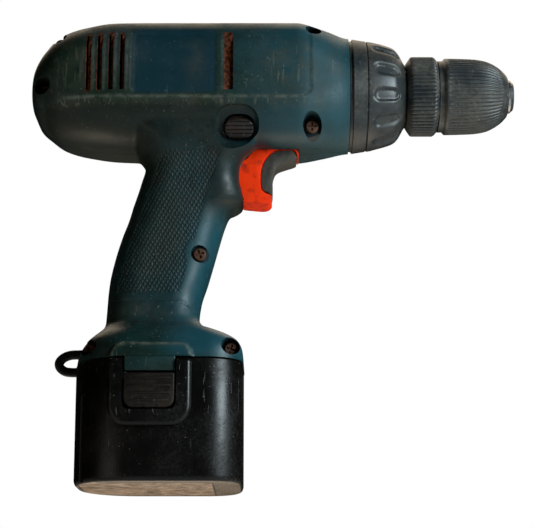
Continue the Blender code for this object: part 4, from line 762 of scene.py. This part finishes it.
# --- Turned pieces ------------------------------------------------------------------------------------
def turned(name, profile, columns=160, shape=None):
    """Profile of (along, radius) turned about the spindle. shape(x, radius, angle) gives the radius."""
    line = np.array(profile, float)
    rows = len(line)

    def place(u, v):
        row = np.round(v * rows).astype(int) % rows
        angle = 2 * math.pi * u
        radius = line[row, 1]
        if shape:
            radius = shape(line[row, 0], radius, angle)
        return np.stack([line[row, 0], radius * np.sin(angle), AXIS + radius * np.cos(angle)], 1)

    return wrap(name, columns, rows, place)


def dense(points, spacing):
    """The same line with more points on it."""
    made = []
    for (ax, ar), (bx, br) in zip(points, points[1:]):
        count = max(1, int(math.hypot(bx - ax, br - ar) / spacing))
        made += [(ax + (bx - ax) * k / count, ar + (br - ar) * k / count) for k in range(count)]
    return made + [points[-1]]


def make_scale_ring():
    profile = [(80, 23.4), (80, 24.4), (87.6, 24.4), (87.7, 26.3), (88.9, 26.4), (89.0, 27.0), (89.4, 27.25),
               (95.4, 26.3), (95.8, 25.9), (95.9, 24.0), (97.5, 24.0), (97.6, 23.4)]
    ring = smooth(turned("plain_ring", profile, 128), 30)
    hand_over(ring, "drill_body", "scale_ring", BLACK)


def make_collar():
    outer = curve_through([(96.2, 25.8), (96.6, 26.15), (101.0, 25.4), (106, 24.0), (109.1, 22.6),
                           (111.3, 20.2), (112.8, 17.6), (113.7, 15.9), (114.25, 15.2)], 6, False)
    profile = [(97.9, 23.3), (97.8, 24.3), (96.2, 24.4), *outer, (114.3, 10.0), (107.6, 9.6),
               (107.5, 23.2)]

    def shape(x, radius, angle):
        turn = ((angle - math.radians(-1.2)) * 12 / (2 * math.pi)) % 1 - 0.5
        along = np.maximum(np.abs(x - 105.0) - 3.4, 0) / 3.3
        across = turn * 2 * math.pi / 12 * 24 / 3.5
        dimple = np.clip((1 - np.hypot(along, across)) * 2.2, 0, 1)
        dimple = 1.5 * dimple * dimple * (3 - 2 * dimple)
        return radius - np.where(radius > 12, dimple * (radius > 17), 0)

    collar = smooth(turned("collar_skin", profile, 288, shape), 40)
    hand_over(collar, "collar", "torque_collar", BLACK)


def ribbed(count, depth, x_from, x_to, fade):
    """Rounded ribs along the piece, fading out at both ends."""

    def shape(x, radius, angle):
        wave = 0.5 - 0.5 * np.cos(angle * count)
        share = np.clip((x - x_from) / fade, 0, 1) * np.clip((x_to - x) / fade, 0, 1)
        return radius - depth * wave**2 * share * (radius > 11.5)

    return shape


def make_sleeves():
    outer = dense([(114.8, 15.2), (115.4, 16.2), (117.0, 18.5), (117.5, 18.9), (118.2, 18.97), (127.6, 18.97),
                   (128.5, 18.5), (129.5, 17.3), (129.8, 16.9)], 0.7)
    profile = [(114.8, 13.3), *outer, (129.8, 15.1), (124.9, 15.1), (124.8, 13.3)]
    rear = turned("rear_sleeve_skin", profile, 480, ribbed(60, 0.75, 116.4, 128.9, 0.8))
    hand_over(smooth(rear, 60), "output", "rear_sleeve", BLACK)
    nose = curve_through([(133.9, 18.25), (141, 18.1), (148, 17.75), (153.2, 16.8), (157.2, 15.0),
                          (160.4, 12.8), (162.4, 10.8), (163.3, 9.6)], 7, False)
    profile = [(130.2, 15.1), (130.2, 17.0), (132.2, 17.0), (132.6, 17.2), (133.3, 18.1), *nose,
               (163.5, 8.9), (163.5, 8.5), (160.8, 8.5), (155.6, 12.6), (150.9, 12.9), (150.85, 14.9),
               (145.8, 14.9), (145.7, 13.5), (134.9, 13.5), (134.8, 15.1)]
    front = turned("front_sleeve_skin", profile, 448, ribbed(56, 0.5, 134.0, 160.5, 2.2))
    hand_over(smooth(front, 60), "chuck_sleeve", "front_sleeve", BLACK)


# --- Controls -----------------------------------------------------------------------------------------
def make_trigger():
    shell = curve_through([
        (28.5, 135.2), (37.4, 134.9), (37.7, 133.3), (42, 132.7), (46.8, 132.3), (49.6, 132.8),
        (51.2, 134.6), (50.6, 136.2), (48.2, 137.3), (46.2, 138.8), (45.65, 143.1), (46.3, 150.1),
        (48.6, 155.0), (52.2, 158.1), (56, 158.7), (60.4, 158.8), (62.2, 157.6), (63.1, 155.9),
        (63.7, 155.9), (63.0, 158.0), (60.4, 159.5), (50, 159.5), (45.5, 159.0), (42.3, 157.6),
        (37.8, 152.9), (28.5, 152.7)], 3)
    body = slab("trigger_shell", shell, -8, 8, 0.7, 3, 50)
    stem = cylinder("trigger_rod", (0, 142.2), 2, (17, 29.5), 20, "X")
    core = slab("trigger_core", [(38, 136.5), (47.6, 138.2), (48.4, 147), (50.5, 152), (55, 156),
                                 (61, 157.2), (60, 158.9), (45, 158.5), (40, 154)], -6.8, 6.8)
    combine(body, [stem, core], "UNION", "EXACT")
    hand_over(smooth(body, 40), "trigger", "trigger", ORANGE)
    pad = curve_through([
        (51.4, 137.0), (49.0, 137.8), (46.9, 139.0), (46.1, 143.1), (46.7, 149.9), (48.9, 154.5),
        (52.4, 157.6), (56, 158.2), (60.2, 158.3), (61.9, 157.1), (62.8, 154.8), (61.4, 153.7),
        (57.7, 152.5), (54.1, 151.1), (52.4, 149.2), (51.5, 145.1)], 4)
    face = slab("finger_pad", pad, -7.5, 7.5, 0.5, 2, 50)
    hand_over(smooth(face, 40), "trigger", "trigger_pad", GREY)


def make_button():
    core = box("button_bar", (29.6, -14.3, 158.0), (35.3, 14.3, 162.5), 0.4, 2)
    combine(core, [box("button_link", (31, -17.6, 159.9), (34.4, 17.6, 163.3))], "UNION", "EXACT")
    for side in (-1, 1):
        end = slab("button_end", oval(6.9, 5.1), -6, 0, 0.9, 4, 50)
        for k in range(5):
            low = 2.0 * k - 4.4
            combine(end, [box("groove", (-6.2, -0.6, low), (6.2, 0.8, low + 0.8))], solver="EXACT")
        combine(core, [lean_over(end, side, BUTTON_FACE)], "UNION", "EXACT")
    hand_over(smooth(core, 35), "direction_button", "direction_button", BROWN)


# --- Battery ------------------------------------------------------------------------------------------
def make_battery():
    columns = 128

    def case_place(levels):
        rows = len(levels) + 1

        def place(u, v):
            row = np.clip(np.round(v * rows).astype(int) - 1, 0, len(levels) - 1)
            z, inset = np.array(levels, float)[row].T
            radii = [np.maximum(r - inset, 1) for r in (27, 17, 17, 27)]
            x, y = rounded(u, inset - 38.05, 38.05 - inset, inset - 33.04, 33.04 - inset, radii, columns)
            closed = (v < 0.5 / rows) | (v > 1 - 0.5 / rows)
            return np.stack([np.where(closed, 0, x), np.where(closed, 0, y), z], 1)

        return rows, place

    levels = [(0, 2.2), (0.3, 1.3), (0.9, 0.6), (1.8, 0.2), (2.8, 0.0), (54.2, 0.0), (54.5, 0.1), (54.7, 0.4)]
    rows, place = case_place(levels)
    case = wrap("case_skin", columns, rows, place)
    corner = [(9 * math.sin(t), -9 * math.cos(t)) for t in np.linspace(0, math.pi / 2, 8)]
    outline = [(x + 6.6, z + 33.2) for x, z in corner] + [(15.6, 54.6), (-21.4, 54.6)]
    outline += [(-x - 12.4, z + 33.2) for x, z in corner[::-1]]
    for side in (-1, 1):
        raised = slab("latch_frame", outline, side * 29.5, side * 35.6, 2.2, 5, 50)
        around = sorted((side * 31.35, side * 40))
        pocket = box("latch_pocket", (-14.9, around[0], 31.4), (8.9, around[1], 70), 3.0, 5)
        combine(combine(case, [raised], "UNION"), [pocket])
    for side in (-1, 1):
        flute = cylinder("flute", (-35.2, side * 22.5), 3.0, (-5, 40), 32, "Z")
        combine(case, [flute])
    rows, place = case_place([(2.6, 2.4), (3.0, 1.9), (40, 1.9), (80, 1.9)])
    combine(case, [wrap("case_room", columns, rows, place)])
    hand_over(smooth(case, 32), "battery", "battery_case", BATTERY)

    rows, place = case_place([(50.6, 2.4), (50.8, 2.1), (51.0, 2.1), (54.4, 2.1), (54.8, 2.2), (55.0, 2.5)])
    lid = wrap("lid_skin", columns, rows, place)
    tower = box("tower", (-13.9, -12.4, 52), (11.9, 12.4, 105), 4, 4)
    combine(lid, [tower], "UNION")
    combine(lid, [box("tower_room", (-12.7, -11.2, 45), (10.7, 11.2, 103), 3, 3)])
    hand_over(smooth(lid, 32), "battery", "battery_lid", BATTERY)

    for side, name in ((-1, "latch_right"), (1, "latch_left")):
        ends = sorted((side * 33.4, side * 35.2))
        arc = [(4.2 * math.sin(t), -4.2 * math.cos(t)) for t in np.linspace(0, math.pi / 2, 7)]
        outline = [(x + 4.0, z + 36.4) for x, z in arc] + [(8.2, 47.7), (-14.2, 47.7)]
        outline += [(-x - 10.0, z + 36.4) for x, z in arc[::-1]]
        button = slab("latch_button", outline, ends[0], ends[1], 0.5, 3)
        ribs = []
        for k in range(4):
            faces = sorted((side * 34.8, side * 35.6))
            shorter, low = float(k == 0), 34.9 + 3.3 * k
            ribs.append(box("rib", (-12.4 + shorter, faces[0], low), (6.4 - shorter, faces[1], low + 1.1),
                            0.4, 2))
        combine(button, ribs, "UNION", "EXACT")
        hand_over(smooth(button, 35), name, name, LATCH)


make_housing()
make_screws()
make_strap_eye()
make_scale_ring()
make_collar()
make_sleeves()
make_trigger()
make_button()
make_battery()


# --- Stage --------------------------------------------------------------------------------------------
def area_light(name, place, aim, size, power, colour):
    bpy.ops.object.light_add(type="AREA", location=place)
    light = bpy.context.object
    light.name = name
    light.data.shape = "RECTANGLE"
    light.data.size, light.data.size_y = size
    light.data.energy = power
    light.data.color = colour
    light.rotation_euler = (Vector(aim) - Vector(place)).to_track_quat("-Z", "Y").to_euler()
    light.visible_camera = False


area_light("window", (0.75, -0.55, 0.30), (0.04, 0, 0.13), (0.35, 0.5), 11.0, (0.80, 0.94, 1.0))
area_light("fill", (-0.7, -0.7, -0.1), (0, 0, 0.13), (0.5, 0.5), 0.7, (1.0, 0.93, 0.82))
area_light("behind", (0.1, 0.55, 0.8), (0, 0, 0.17), (1.2, 0.8), 5.0, (1.0, 0.84, 0.64))
area_light("below", (0.0, 0.1, -0.28), (0, 0, 0.1), (0.5, 0.4), 1.4, (1.0, 0.85, 0.66))

bpy.ops.mesh.primitive_plane_add(size=6, location=(0, 0, -0.3))
floor = named("floor")
paint = Finish("floor_paint")
tone = paint.mix(paint.step(paint.noise(3), 0.3, 0.7), (0.80, 0.79, 0.77), (0.84, 0.83, 0.82))
dress(floor, paint.done(tone, paint.step(paint.noise(20), 0.3, 0.7, 0.6, 0.75), paint.noise(200), 0.01))

world = bpy.data.worlds.new("studio")
bpy.context.scene.world = world
world.use_nodes = True
world.node_tree.nodes["Background"].inputs["Color"].default_value = (1, 1, 1, 1)
world.node_tree.nodes["Background"].inputs["Strength"].default_value = 1.0
world.cycles_visibility.diffuse = False
world.cycles_visibility.glossy = False

bpy.ops.object.camera_add(location=(0.04861, -0.77244, -0.08042), rotation=(math.radians(103.5), 0, 0))
camera = bpy.context.object
camera.data.sensor_width = 36
camera.data.lens = 36 * 1700 / 533
camera.data.clip_start = 0.01
bpy.context.scene.camera = camera
bpy.context.scene.view_settings.view_transform = "Standard"
